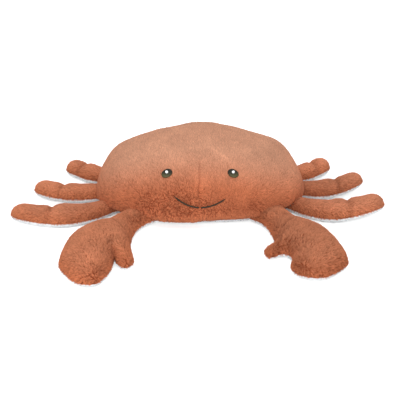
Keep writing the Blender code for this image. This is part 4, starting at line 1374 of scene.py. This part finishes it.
@dataclass(frozen=True)
class Claw(Limb):
    """One claw: arm, palm, thumb and finger in one pattern piece, creased at the wrist."""

    shoulder_from_middle: float = 76.0 * MM
    heading: float = 18.0
    stretch: float = 1.0
    thumb_tip_along: float = 119.0 * MM
    thumb_tip_across: float = 30.0 * MM
    thumb_width: float = 20.0 * MM
    length: float = 158.0 * MM
    crown: float = 27.0 * MM
    arm_outer: float = 16.0 * MM
    arm_inner: float = 19.5 * MM
    wrist_along: float = 36.0 * MM
    wrist_inner: float = 11.5 * MM
    wrist_outer: float = 29.5 * MM
    palm_along: float = 95.0 * MM
    palm_outer: float = 51.0 * MM
    heel_share: float = 0.93
    knuckle_share: float = 0.84
    notch_along: float = 99.0 * MM
    notch_inner: float = 12.5 * MM
    finger_inner: float = 18.0 * MM
    fingertip_across: float = -1.0 * MM
    fingertip_share: float = 0.47
    thumb_root_inner: float = 20.0 * MM
    crease_depth: float = 0.12
    crease_width: float = 9.0 * MM
    spacing: float = 3.4 * MM
    edge_rings: tuple[float, ...] = (0.7 * MM, 2.0 * MM)
    creases: tuple = ()  # lines of plan places, in millimetres along the arm and towards the thumb

    def outline(self) -> np.ndarray:
        """Draws the pattern along +X from the seam, with the thumb on the side that the toy has it.

        Returns:
            The closed outline's points, anticlockwise.
        """
        wrist, palm, notch, length = (
            place * self.stretch for place in (self.wrist_along, self.palm_along, self.notch_along, self.length)
        )
        thumb_base = np.array([(wrist + notch) / 2, self.notch_inner])
        tip = np.array([self.thumb_tip_along, self.thumb_tip_across])
        along = (tip - thumb_base) / np.linalg.norm(tip - thumb_base)
        across = np.array([-along[1], along[0]])
        behind_tip = tip - along * self.thumb_width * 0.65
        finger_start = (notch + length) / 2
        knots = [
            (-self.root_reach, self.arm_outer * 0.8),
            (-self.root_reach, -self.arm_outer * 0.8),
            (0.0, -self.arm_outer),
            (wrist * 0.5, -(self.arm_outer + self.wrist_outer) / 2),
            (wrist, -self.wrist_outer),
            ((wrist + palm) / 2, -self.palm_outer * self.heel_share),
            (palm, -self.palm_outer),
            (finger_start, -self.palm_outer * self.knuckle_share),
            (length * 0.95, -self.palm_outer * self.fingertip_share),
            (length, self.fingertip_across - 6 * MM),
            (length * 0.975, self.fingertip_across + 10.5 * MM),
            (length * 0.9, self.finger_inner * 0.96),
            (finger_start * 0.95, self.finger_inner),
            (notch, self.notch_inner),
            tuple(behind_tip - across * self.thumb_width / 2),
            tuple(tip),
            tuple(behind_tip + across * self.thumb_width / 2),
            (thumb_base[0], self.thumb_root_inner),
            (wrist, self.wrist_inner),
            (wrist * 0.4, (self.wrist_inner + self.arm_inner) * 0.46),
            (0.0, self.arm_inner),
        ]
        flip = -self.side.value
        turned = np.array(knots) * np.array([1.0, flip])
        return self.spline(turned if flip > 0 else turned[::-1])

    def spline(self, knots: np.ndarray) -> np.ndarray:
        """Draws a closed smooth curve.

        Args:
            knots: the places that it passes through.

        Returns:
            Points along the curve.
        """
        points = []
        count = len(knots)
        for i in range(count):
            before, here, there, beyond = (knots[(i + k) % count] for k in (-1, 0, 1, 2))
            bend = 2 * before - 5 * here + 4 * there - beyond
            twist = 3 * here - before - 3 * there + beyond
            pieces = math.ceil(np.linalg.norm(there - here) / self.spacing)
            for t in np.linspace(0.0, 1.0, pieces, endpoint=False):
                points.append(here + 0.5 * (t * (there - before) + t**2 * bend + t**3 * twist))
        return np.array(points)

    @staticmethod
    def distance_inside(points: np.ndarray, outline: np.ndarray) -> np.ndarray:
        """Measures how far inside a closed outline each point lies.

        Args:
            points: plan places.
            outline: the outline's points.

        Returns:
            The distance to the outline, negative outside it.
        """
        starts, ends = outline, np.roll(outline, -1, axis=0)
        sides = ends - starts
        offsets = points[:, None, :] - starts[None, :, :]
        along = np.clip((offsets * sides).sum(axis=2) / (sides**2).sum(axis=1), 0.0, 1.0)
        nearest = np.linalg.norm(offsets - along[:, :, None] * sides, axis=2).min(axis=1)
        rising = (starts[:, 1] <= points[:, None, 1]) != (ends[:, 1] <= points[:, None, 1])
        slope = np.where(sides[:, 1] == 0.0, 1.0, sides[:, 1])
        crossing = starts[:, 0] + (points[:, None, 1] - starts[:, 1]) / slope * sides[:, 0]
        crossings = (rising & (points[:, None, 0] < crossing)).sum(axis=1)
        return np.where(crossings % 2 == 1, nearest, -nearest)

    @staticmethod
    def pillow(points: np.ndarray, triangles: np.ndarray, rim: np.ndarray) -> np.ndarray:
        """Gives how full a stuffed outline is: the root of an evenly loaded membrane's height.

        Args:
            points: plan places.
            triangles: the plan's faces.
            rim: the numbers of the points on the outline.

        Returns:
            One value for each point, up to one where it is fullest.
        """
        count = len(points)
        stiffness, load = np.zeros((count, count)), np.zeros(count)
        corners = points[triangles]
        first, second = corners[:, 1] - corners[:, 0], corners[:, 2] - corners[:, 0]
        area = np.maximum(np.abs(first[:, 0] * second[:, 1] - first[:, 1] * second[:, 0]) / 2, 1e-10)
        for k in range(3):
            i, j = triangles[:, k], triangles[:, (k + 1) % 3]
            opposite = corners[:, (k + 2) % 3]
            weight = ((points[i] - opposite) * (points[j] - opposite)).sum(axis=1) / (4 * area)
            np.add.at(stiffness, (i, i), weight)
            np.add.at(stiffness, (j, j), weight)
            np.add.at(stiffness, (i, j), -weight)
            np.add.at(stiffness, (j, i), -weight)
            np.add.at(load, i, area / 3)
        free = np.setdiff1d(np.arange(count), rim)
        height = np.zeros(count)
        height[free] = np.linalg.solve(stiffness[np.ix_(free, free)], load[free])
        return np.sqrt(np.clip(height / height.max(), 0.0, 1.0))

    def meshed(self, outline: np.ndarray) -> tuple[np.ndarray, np.ndarray, np.ndarray]:
        """Fills the outline with an even mesh that is finer along its edge.

        Args:
            outline: the outline's points.

        Returns:
            The plan's points and faces, and the numbers of the points on the outline.
        """
        ahead, behind = np.roll(outline, -1, axis=0), np.roll(outline, 1, axis=0)
        tangent = (ahead - behind) / np.linalg.norm(ahead - behind, axis=1, keepdims=True)
        inward = np.column_stack([-tangent[:, 1], tangent[:, 0]])
        rings = []
        for depth in self.edge_rings:
            ring = outline + inward * depth
            rings.append(ring[self.distance_inside(ring, outline) > depth * 0.9])
        low, high = outline.min(axis=0), outline.max(axis=0)
        grid = []
        for row, y in enumerate(np.arange(low[1], high[1], self.spacing * math.sqrt(0.75))):
            shift = self.spacing / 2 * (row % 2)
            grid += [(x + shift, y) for x in np.arange(low[0], high[0], self.spacing)]
        grid = np.array(grid)
        grid = grid[self.distance_inside(grid, outline) > self.edge_rings[-1] + self.spacing * 0.6]
        given = [Vector(point) for point in np.vstack([outline, *rings, grid])]
        edge = list(range(len(outline)))
        flat, _, faces, came_from, _, _ = delaunay_2d_cdt(given, [], [edge], 1, 1e-7)
        place = {source: index for index, sources in enumerate(came_from) for source in sources}
        plan = np.array([tuple(point) for point in flat])
        return plan, np.array([tuple(face) for face in faces]), np.array([place[index] for index in edge])

    def creased(self, plan: np.ndarray) -> np.ndarray:
        """Finds the creases that the stuffing leaves in the top.

        Args:
            plan: plan places.

        Returns:
            One value for each place, up to one on a crease.
        """
        towards_thumb = np.column_stack([plan[:, 0], -self.side.value * plan[:, 1], np.zeros(len(plan))])
        most = np.zeros(len(plan))
        for line, width in self.creases:
            for start, end in zip(line, line[1:]):
                most = np.maximum(most, Fold((*start, 0.0), (*end, 0.0), width).near(towards_thumb))
        return most

    def build(self, rust: bpy.types.Material, white: bpy.types.Material, seed: int) -> list[bpy.types.Object]:
        """Makes the claw's pieces.

        Args:
            rust: the top's finish.
            white: the under panel's finish.
            seed: picks the tufts' places.

        Returns:
            The new pieces.
        """
        plan, triangles, rim = self.meshed(self.outline())
        level = np.zeros(len(plan))
        creased = self.creased(plan)
        from_wrist = plan[:, 0] - self.wrist_along * self.stretch
        fullness = self.pillow(plan, triangles, rim)
        fullness *= 1.0 - self.crease_depth * nearness(from_wrist, self.crease_width)
        fullness *= 1.0 - 0.11 * creased
        lumps, spread = Scatter(seed), np.column_stack([plan, level])
        fullness *= 1.0 + 0.045 * lumps.smooth(spread, 24 * MM) + 0.02 * lumps.smooth(spread, 9 * MM)
        root_y = -self.seam_outline(self.shoulder_from_middle, False)
        turn = -math.pi / 2 + self.side.value * math.radians(self.heading)
        placed = self.placed(plan, (self.side.value * self.shoulder_from_middle, root_y), turn)
        swirl = 0.45 * lumps.smooth(spread, 28 * MM)
        nap = np.column_stack([self.side.value * (0.8 + swirl), 0.6 - swirl])
        raised = np.clip(0.88 - 0.44 * fullness + 0.28 * lumps.smooth(spread, 15 * MM), 0.12, 1.0)
        top, under = self.sheets(placed, triangles, fullness, self.crown, level, nap, raised, creased)
        return self.dress(f"{self.side.word}_claw", top, under, rust, white, seed)


@dataclass(frozen=True)
class Face:
    """The embroidered face: two oval eyes with glints, and a smile that the dart parts in two."""

    body: Body = Body()
    eye_half_length: float = 7.0 * MM
    eye_half_width: float = 4.8 * MM
    eye_tilt: float = 34.0
    glint_radius: float = 1.75 * MM
    glint_rise: float = 1.0 * MM
    stitch_width: float = 0.75 * MM
    smile_radius: float = 0.95 * MM
    smile_parting: float = 0.9 * MM
    inner_taper: float = 1.2 * MM  # over which the thread dives into the dart
    corner_taper: float = 6.0 * MM  # and thins out at the smile's corner
    stitch_length: float = 3.4 * MM

    def patch(
        self,
        name: str,
        x: float,
        z: float,
        half: tuple[float, float],
        tilt: float,
        lift: float,
        dome: float,
        material: bpy.types.Material,
    ) -> bpy.types.Object:
        """Makes an oval of satin stitch that follows the face.

        Args:
            name: the object's name.
            x: the middle's place across.
            z: the middle's height.
            half: half the oval's length and width.
            tilt: the long axis' turn, in radians.
            lift: the edge's height above the face.
            dome: how far the middle stands over the edge.
            material: the finish.

        Returns:
            The new object.
        """
        rings, around = 14, 72
        share = np.repeat(np.linspace(0.0, 1.0, rings + 1)[1:], around)
        turn = np.tile(np.linspace(0.0, 2 * math.pi, around, endpoint=False), rings)
        share, turn = np.insert(share, 0, 0.0), np.insert(turn, 0, 0.0)
        along, across = half[0] * share * np.cos(turn), half[1] * share * np.sin(turn)
        ridges = np.abs(np.sin(math.pi * along / self.stitch_width))
        spill = 1.0 + 0.03 * np.sin(turn * 17.0) * share
        place_x = x + (along * math.cos(tilt) - across * math.sin(tilt)) * spill
        normal = self.body.face_normal(np.array([x]), np.array([z]))[0]
        steep = abs(normal[1]) / math.hypot(normal[1], normal[2])
        place_z = z + (along * math.sin(tilt) + across * math.cos(tilt)) * steep * spill
        spots, out = self.body.face_point(place_x, place_z), self.body.face_normal(place_x, place_z)
        height = lift + dome * np.sqrt(np.clip(1.0 - share**2.6, 0.0, 1.0)) + 0.16 * MM * ridges * (share < 0.97)
        upper, lower = spots + out * height[:, None], spots - out * 1.6 * MM
        disc = [(0, 1 + i, 1 + (i + 1) % around) for i in range(around)]
        for ring in range(rings - 1):
            for i in range(around):
                after = (i + 1) % around
                near, far = 1 + ring * around, 1 + (ring + 1) * around
                disc += [(near + i, far + i, far + after), (near + i, far + after, near + after)]
        count, last = len(spots), 1 + (rings - 1) * around
        faces = disc + [(count + a, count + c, count + b) for a, b, c in disc]
        for i in range(around):
            after = (i + 1) % around
            below = count + last
            faces += [(last + i, below + i, below + after), (last + i, below + after, last + after)]
        return MeshMaker.make(name, np.vstack([upper, lower]), np.array(faces), material)

    def smile(self, name: str, side: Side, material: bpy.types.Material) -> bpy.types.Object:
        """Makes one half of the smile: back stitches end to end along the curve.

        Args:
            name: the object's name.
            side: the half's side.
            material: the finish.

        Returns:
            The new object.
        """
        steps, around = 120, 12
        x = np.linspace(self.smile_parting, self.body.smile_half_width, steps) * side.value
        z = self.body.smile_height(x)
        out = self.body.face_normal(x, z)
        centre = self.body.face_point(x, z)
        run = np.concatenate([[0.0], np.cumsum(np.linalg.norm(np.diff(centre, axis=0), axis=1))])
        dip = np.abs(np.sin(math.pi * run / self.stitch_length)) ** 0.5
        ends = smooth_step(np.minimum(run / self.inner_taper, (run[-1] - run) / self.corner_taper))
        centre = centre + out * (self.smile_radius * (0.35 + 0.3 * dip))[:, None]
        along = unit(np.gradient(centre, axis=0))
        across = np.cross(along, out)
        radius = self.smile_radius * (0.85 + 0.15 * dip) * (0.3 + 0.7 * ends)
        turn = np.linspace(0.0, 2 * math.pi, around, endpoint=False)
        points = centre[:, None, :] + radius[:, None, None] * (
            np.cos(turn)[None, :, None] * out[:, None, :] + np.sin(turn)[None, :, None] * across[:, None, :]
        )
        triangles = Body.ring_triangles(around, steps)
        last = (steps - 1) * around
        triangles += [(0, k + 1, k) for k in range(1, around - 1)]
        triangles += [(last, last + k, last + k + 1) for k in range(1, around - 1)]
        return MeshMaker.make(name, points.reshape(-1, 3), np.array(triangles), material)

    def build(self) -> list[bpy.types.Object]:
        """Makes the face's pieces.

        Returns:
            The new pieces.
        """
        eye_thread = ThreadFinish("rayon_thread_eye", "#1d1a10", "#4c492b", self.body.eye_height - 0.4 * MM, 2.6 * MM)
        line_thread = ThreadFinish("rayon_thread_smile", "#2b2415", "#2b2415", 0.03, 0.01)
        glint_thread = ThreadFinish("rayon_thread_glint", "#f6f6f4", "#f6f6f4", 0.06, 0.01)
        eye, line, glint = eye_thread.make(), line_thread.make(), glint_thread.make()
        pieces = []
        half = (self.eye_half_length, self.eye_half_width)
        for side in Side:
            x, tilt = side.value * self.body.eye_from_middle, -side.value * math.radians(self.eye_tilt)
            node = f"{side.word}_eye"
            oval = self.patch(f"{node}_stitching", x, self.body.eye_height, half, tilt, 0.3 * MM, 0.9 * MM, eye)
            above = self.body.eye_height + self.glint_rise
            dot_half = (self.glint_radius, self.glint_radius)
            dot = self.patch(f"{node}_glint_stitching", x, above, dot_half, tilt, 1.3 * MM, 0.6 * MM, glint)
            mouth = self.smile(f"smile_{side.word}_stitching", side, line)
            for piece, replaced in ((oval, node), (dot, f"{node}_glint"), (mouth, f"smile_{side.word}")):
                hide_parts(replaced)
                pieces.append(piece)
        return pieces


@dataclass(frozen=True)
class Filling:
    """The fibre filling, pulled in a little from its CAD solid so that the folds of the cover clear it."""

    pull: float = 2.4 * MM
    finish: FillingFinish = FillingFinish()

    def build(self) -> list[bpy.types.Object]:
        """Makes a filling for each CAD stuffing.

        Returns:
            The new pieces.
        """
        material = self.finish.make()
        pieces = []
        for name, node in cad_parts.items():
            if not name.endswith("stuffing"):
                continue
            points = np.empty(len(node.data.vertices) * 3, dtype=np.float32)
            node.data.vertices.foreach_get("co", points)
            points = points.reshape(-1, 3).astype(float)
            node.data.calc_loop_triangles()
            triangles = np.empty(len(node.data.loop_triangles) * 3, dtype=np.int32)
            node.data.loop_triangles.foreach_get("vertices", triangles)
            triangles = triangles.reshape(-1, 3)
            pulled = points - Sheet.bare(points, triangles).normals() * self.pull
            piece = MeshMaker.make(f"{name}_wadding", pulled, triangles, material)
            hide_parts(name)
            pieces.append(piece)
        return pieces


@dataclass(frozen=True)
class Studio:
    """The pale floor, the soft lights and the camera at the photograph's angle."""

    elevation: float = 26.0
    distance: float = 1.3
    view_width: float = 0.494
    aim: tuple[float, float, float] = (0.003, -0.0545, 0.02)
    sensor: float = 36.0
    floor_colour: str = "#f4f4f4"
    floor_glow: float = 0.5
    floor_reach: float = 6.0
    sky_strength: float = 0.7
    lamps_point_at: tuple[float, float, float] = (0.0, -0.05, 0.03)

    def camera(self) -> None:
        """Puts the camera where the photograph was taken from."""
        tilt = math.radians(self.elevation)
        back = Vector((0.0, -math.cos(tilt), math.sin(tilt)))
        data = bpy.data.cameras.new("photo_camera")
        data.sensor_width = self.sensor
        data.lens = self.sensor * self.distance / self.view_width
        data.clip_start, data.clip_end = 0.05, 20.0
        camera = bpy.data.objects.new("photo_camera", data)
        camera.location = Vector(self.aim) + back * self.distance
        camera.rotation_euler = (-back).to_track_quat("-Z", "Y").to_euler()
        bpy.context.scene.collection.objects.link(camera)
        bpy.context.scene.camera = camera

    def floor(self) -> None:
        """Lays the pale floor. To the camera it shows white, apart from the toy's shadow."""
        nodes = Nodes(bpy.data.materials.new("matt_pale_floor"))
        paint = nodes.add("ShaderNodeBsdfDiffuse", values={"Color": linear(self.floor_colour)})
        glow = nodes.add("ShaderNodeMath", {0: nodes.looked_at()}, {1: self.floor_glow}, operation="MULTIPLY")
        shine = nodes.add("ShaderNodeEmission", {"Strength": glow.outputs[0]})
        both = nodes.add("ShaderNodeAddShader", {0: paint.outputs[0], 1: shine.outputs[0]})
        nodes.add("ShaderNodeOutputMaterial", {"Surface": both.outputs[0]})
        signs = np.array([(-1, -1, 0), (1, -1, 0), (1, 1, 0), (-1, 1, 0)])
        triangles = np.array([(0, 1, 2), (0, 2, 3)])
        MeshMaker.make("floor", signs * self.floor_reach, triangles, nodes.owner)

    def world(self) -> None:
        """Lights the toy evenly from all round. The camera sees white."""
        world = bpy.data.worlds.new("studio")
        nodes = Nodes(world)
        strength = nodes.add(
            "ShaderNodeMapRange", {"Value": nodes.looked_at()}, {"To Min": self.sky_strength, "To Max": 1.0}
        ).outputs["Result"]
        sky = nodes.add("ShaderNodeBackground", {"Strength": strength}, {"Color": (1.0, 1.0, 1.0, 1.0)})
        nodes.add("ShaderNodeOutputWorld", {"Surface": sky.outputs[0]})
        bpy.context.scene.world = world

    def lamp(self, name: str, place: tuple[float, float, float], size: float, power: float) -> None:
        """Hangs a soft box that points at the toy.

        Args:
            name: the lamp's name.
            place: where it hangs, in metres.
            size: its side, in metres.
            power: its power, in watts.
        """
        data = bpy.data.lights.new(name, "AREA")
        data.shape, data.size, data.energy = "SQUARE", size, power
        lamp = bpy.data.objects.new(name, data)
        lamp.location = place
        lamp.rotation_euler = (Vector(self.lamps_point_at) - Vector(place)).to_track_quat("-Z", "Y").to_euler()
        bpy.context.scene.collection.objects.link(lamp)

    def build(self) -> None:
        """Sets up floor, light and camera."""
        self.camera()
        self.floor()
        self.world()
        self.lamp("overhead_soft_box", (0.0, 0.25, 1.7), 1.4, 10.0)
        self.lamp("front_soft_box", (-0.1, -1.7, 0.75), 1.3, 20.0)
        bpy.context.scene.view_settings.view_transform = "Standard"


def legs() -> list[Leg]:
    """Cuts the three leg patterns and lays each leg as it lies in the photograph.

    Returns:
        The six legs.
    """
    front = Leg(
        Side.LEFT, place="front", thigh=40 * MM, shin=36 * MM, foot=51 * MM,
        root_width=25 * MM, knee_width=37.5 * MM, foot_width=27 * MM, crown=17.5 * MM,
    )
    middle = Leg(
        Side.LEFT, place="middle", thigh=27 * MM, shin=26 * MM, foot=40 * MM,
        root_width=25.5 * MM, knee_width=32.5 * MM, foot_width=25 * MM, crown=16 * MM,
    )
    back = Leg(
        Side.LEFT, place="back", thigh=26 * MM, shin=21 * MM, foot=29 * MM,
        root_width=24 * MM, knee_width=29.5 * MM, foot_width=25.5 * MM, crown=15.5 * MM,
    )
    poses = (  # pattern, side, place along Y, headings of thigh, shin and foot, the tip's rise, stretch, painted light and shade
        (front, Side.LEFT, -41.5, (-38, -8, 19), 1.0, 1.02, 0.0),
        (middle, Side.LEFT, -1.0, (-8, 0, 28), 2.0, 1.0, 0.2),
        (back, Side.LEFT, 39.5, (25, 30, 36), 2.0, 0.985, 0.0),
        (front, Side.RIGHT, -34.0, (-36, -4, 24), 7.5, 0.945, -0.08),
        (middle, Side.RIGHT, 7.0, (-5, 4, 31), 8.5, 0.98, -0.34),
        (back, Side.RIGHT, 41.5, (29, 32, 33), 4.0, 0.93, 0.12),
    )
    return [
        replace(pattern, side=side, root_y=y * MM, headings=turns, tip_rise=rise * MM, stretch=stretch, shade=shade)
        for pattern, side, y, turns, rise, stretch, shade in poses
    ]


def claws() -> list[Claw]:
    """Lays the two claws as they lie in the photograph.

    Returns:
        The left and the right claw.
    """
    left = Claw(
        Side.LEFT, shoulder_from_middle=76 * MM, heading=17.0, stretch=1.07, length=159 * MM,
        arm_inner=24 * MM, arm_outer=14.5 * MM, wrist_outer=29.5 * MM,
        palm_outer=51.2 * MM, heel_share=0.98, knuckle_share=0.82,
        finger_inner=17 * MM, fingertip_share=0.40, fingertip_across=1.5 * MM, notch_along=101.5 * MM,
        thumb_root_inner=18.5 * MM, thumb_tip_along=123.5 * MM, thumb_tip_across=30.0 * MM, thumb_width=20 * MM,
        creases=(
            (((52, -11), (57, 1), (70, 17), (81, 22.5)), 2.2),
            (((45, -2), (58, 12.6), (62, 20)), 2.0),
            (((96, 4), (104, 9), (118, 15.4), (124, 18)), 2.6),
        ),
    )
    # The right claw's pile is painted darker, a painted shade.
    right = Claw(
        Side.RIGHT, shoulder_from_middle=85 * MM, heading=16.6, stretch=1.01, shade=-0.34,
        arm_inner=26 * MM, arm_outer=18.5 * MM, wrist_inner=14.5 * MM, wrist_outer=27 * MM,
        palm_outer=48 * MM, heel_share=0.89, knuckle_share=0.93,
        finger_inner=21.5 * MM, fingertip_share=0.56, notch_along=108.5 * MM,
        thumb_tip_along=101 * MM, thumb_tip_across=37.5 * MM, thumb_width=23 * MM,
        creases=(
            (((55, -6), (62, 7), (75.5, 21), (93, 30)), 2.2),
            (((72, 6.4), (81.5, 18.4), (96.5, 27.5)), 2.0),
            (((94, 25), (98, 26), (109, 25), (114, 18)), 2.4),
        ),
    )
    return [left, right]


def main() -> None:
    """Builds the dressed toy and its studio."""
    logging.basicConfig(level=logging.INFO, format="%(message)s")
    # Each pile's tips are painted paler higher up, a painted sheen, and its roots darker, a painted shade.
    body_rust = PileFinish("rust_plush_body", "#cb9477", "#cc7650", "#823c22", 44 * MM, 88 * MM, 1.7)
    limb_rust = PileFinish("rust_plush_limbs", "#d68c6a", "#cc7851", "#823c22", 6 * MM, 30 * MM)
    claw_rust = PileFinish("rust_plush_claws", "#cc815e", "#ca744d", "#7e3a20", 6 * MM, 30 * MM)
    white = PileFinish("white_plush_underside", "#f1f3f4", "#eef1f2", "#d9dee2", 0.0, 12 * MM)
    pieces = Body().build(body_rust, white)
    rust_limb, white_limb = limb_rust.make(), replace(white, name="white_plush_limbs").make()
    for number, leg in enumerate(legs()):
        pieces += leg.build(rust_limb, white_limb, 100 + 10 * number)
    rust_claw = claw_rust.make()
    for number, claw in enumerate(claws()):
        pieces += claw.build(rust_claw, white_limb, 200 + 10 * number)
    pieces += Face().build()
    pieces += Filling().build()
    total = 0
    for piece in pieces:
        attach(piece, ROOT_BODY)
        total += len(piece.data.polygons)
        log.info("%s: %d faces", piece.name, len(piece.data.polygons))
    log.info("all pieces: %d faces", total)
    Studio().build()


if __name__ == "__main__":
    main()
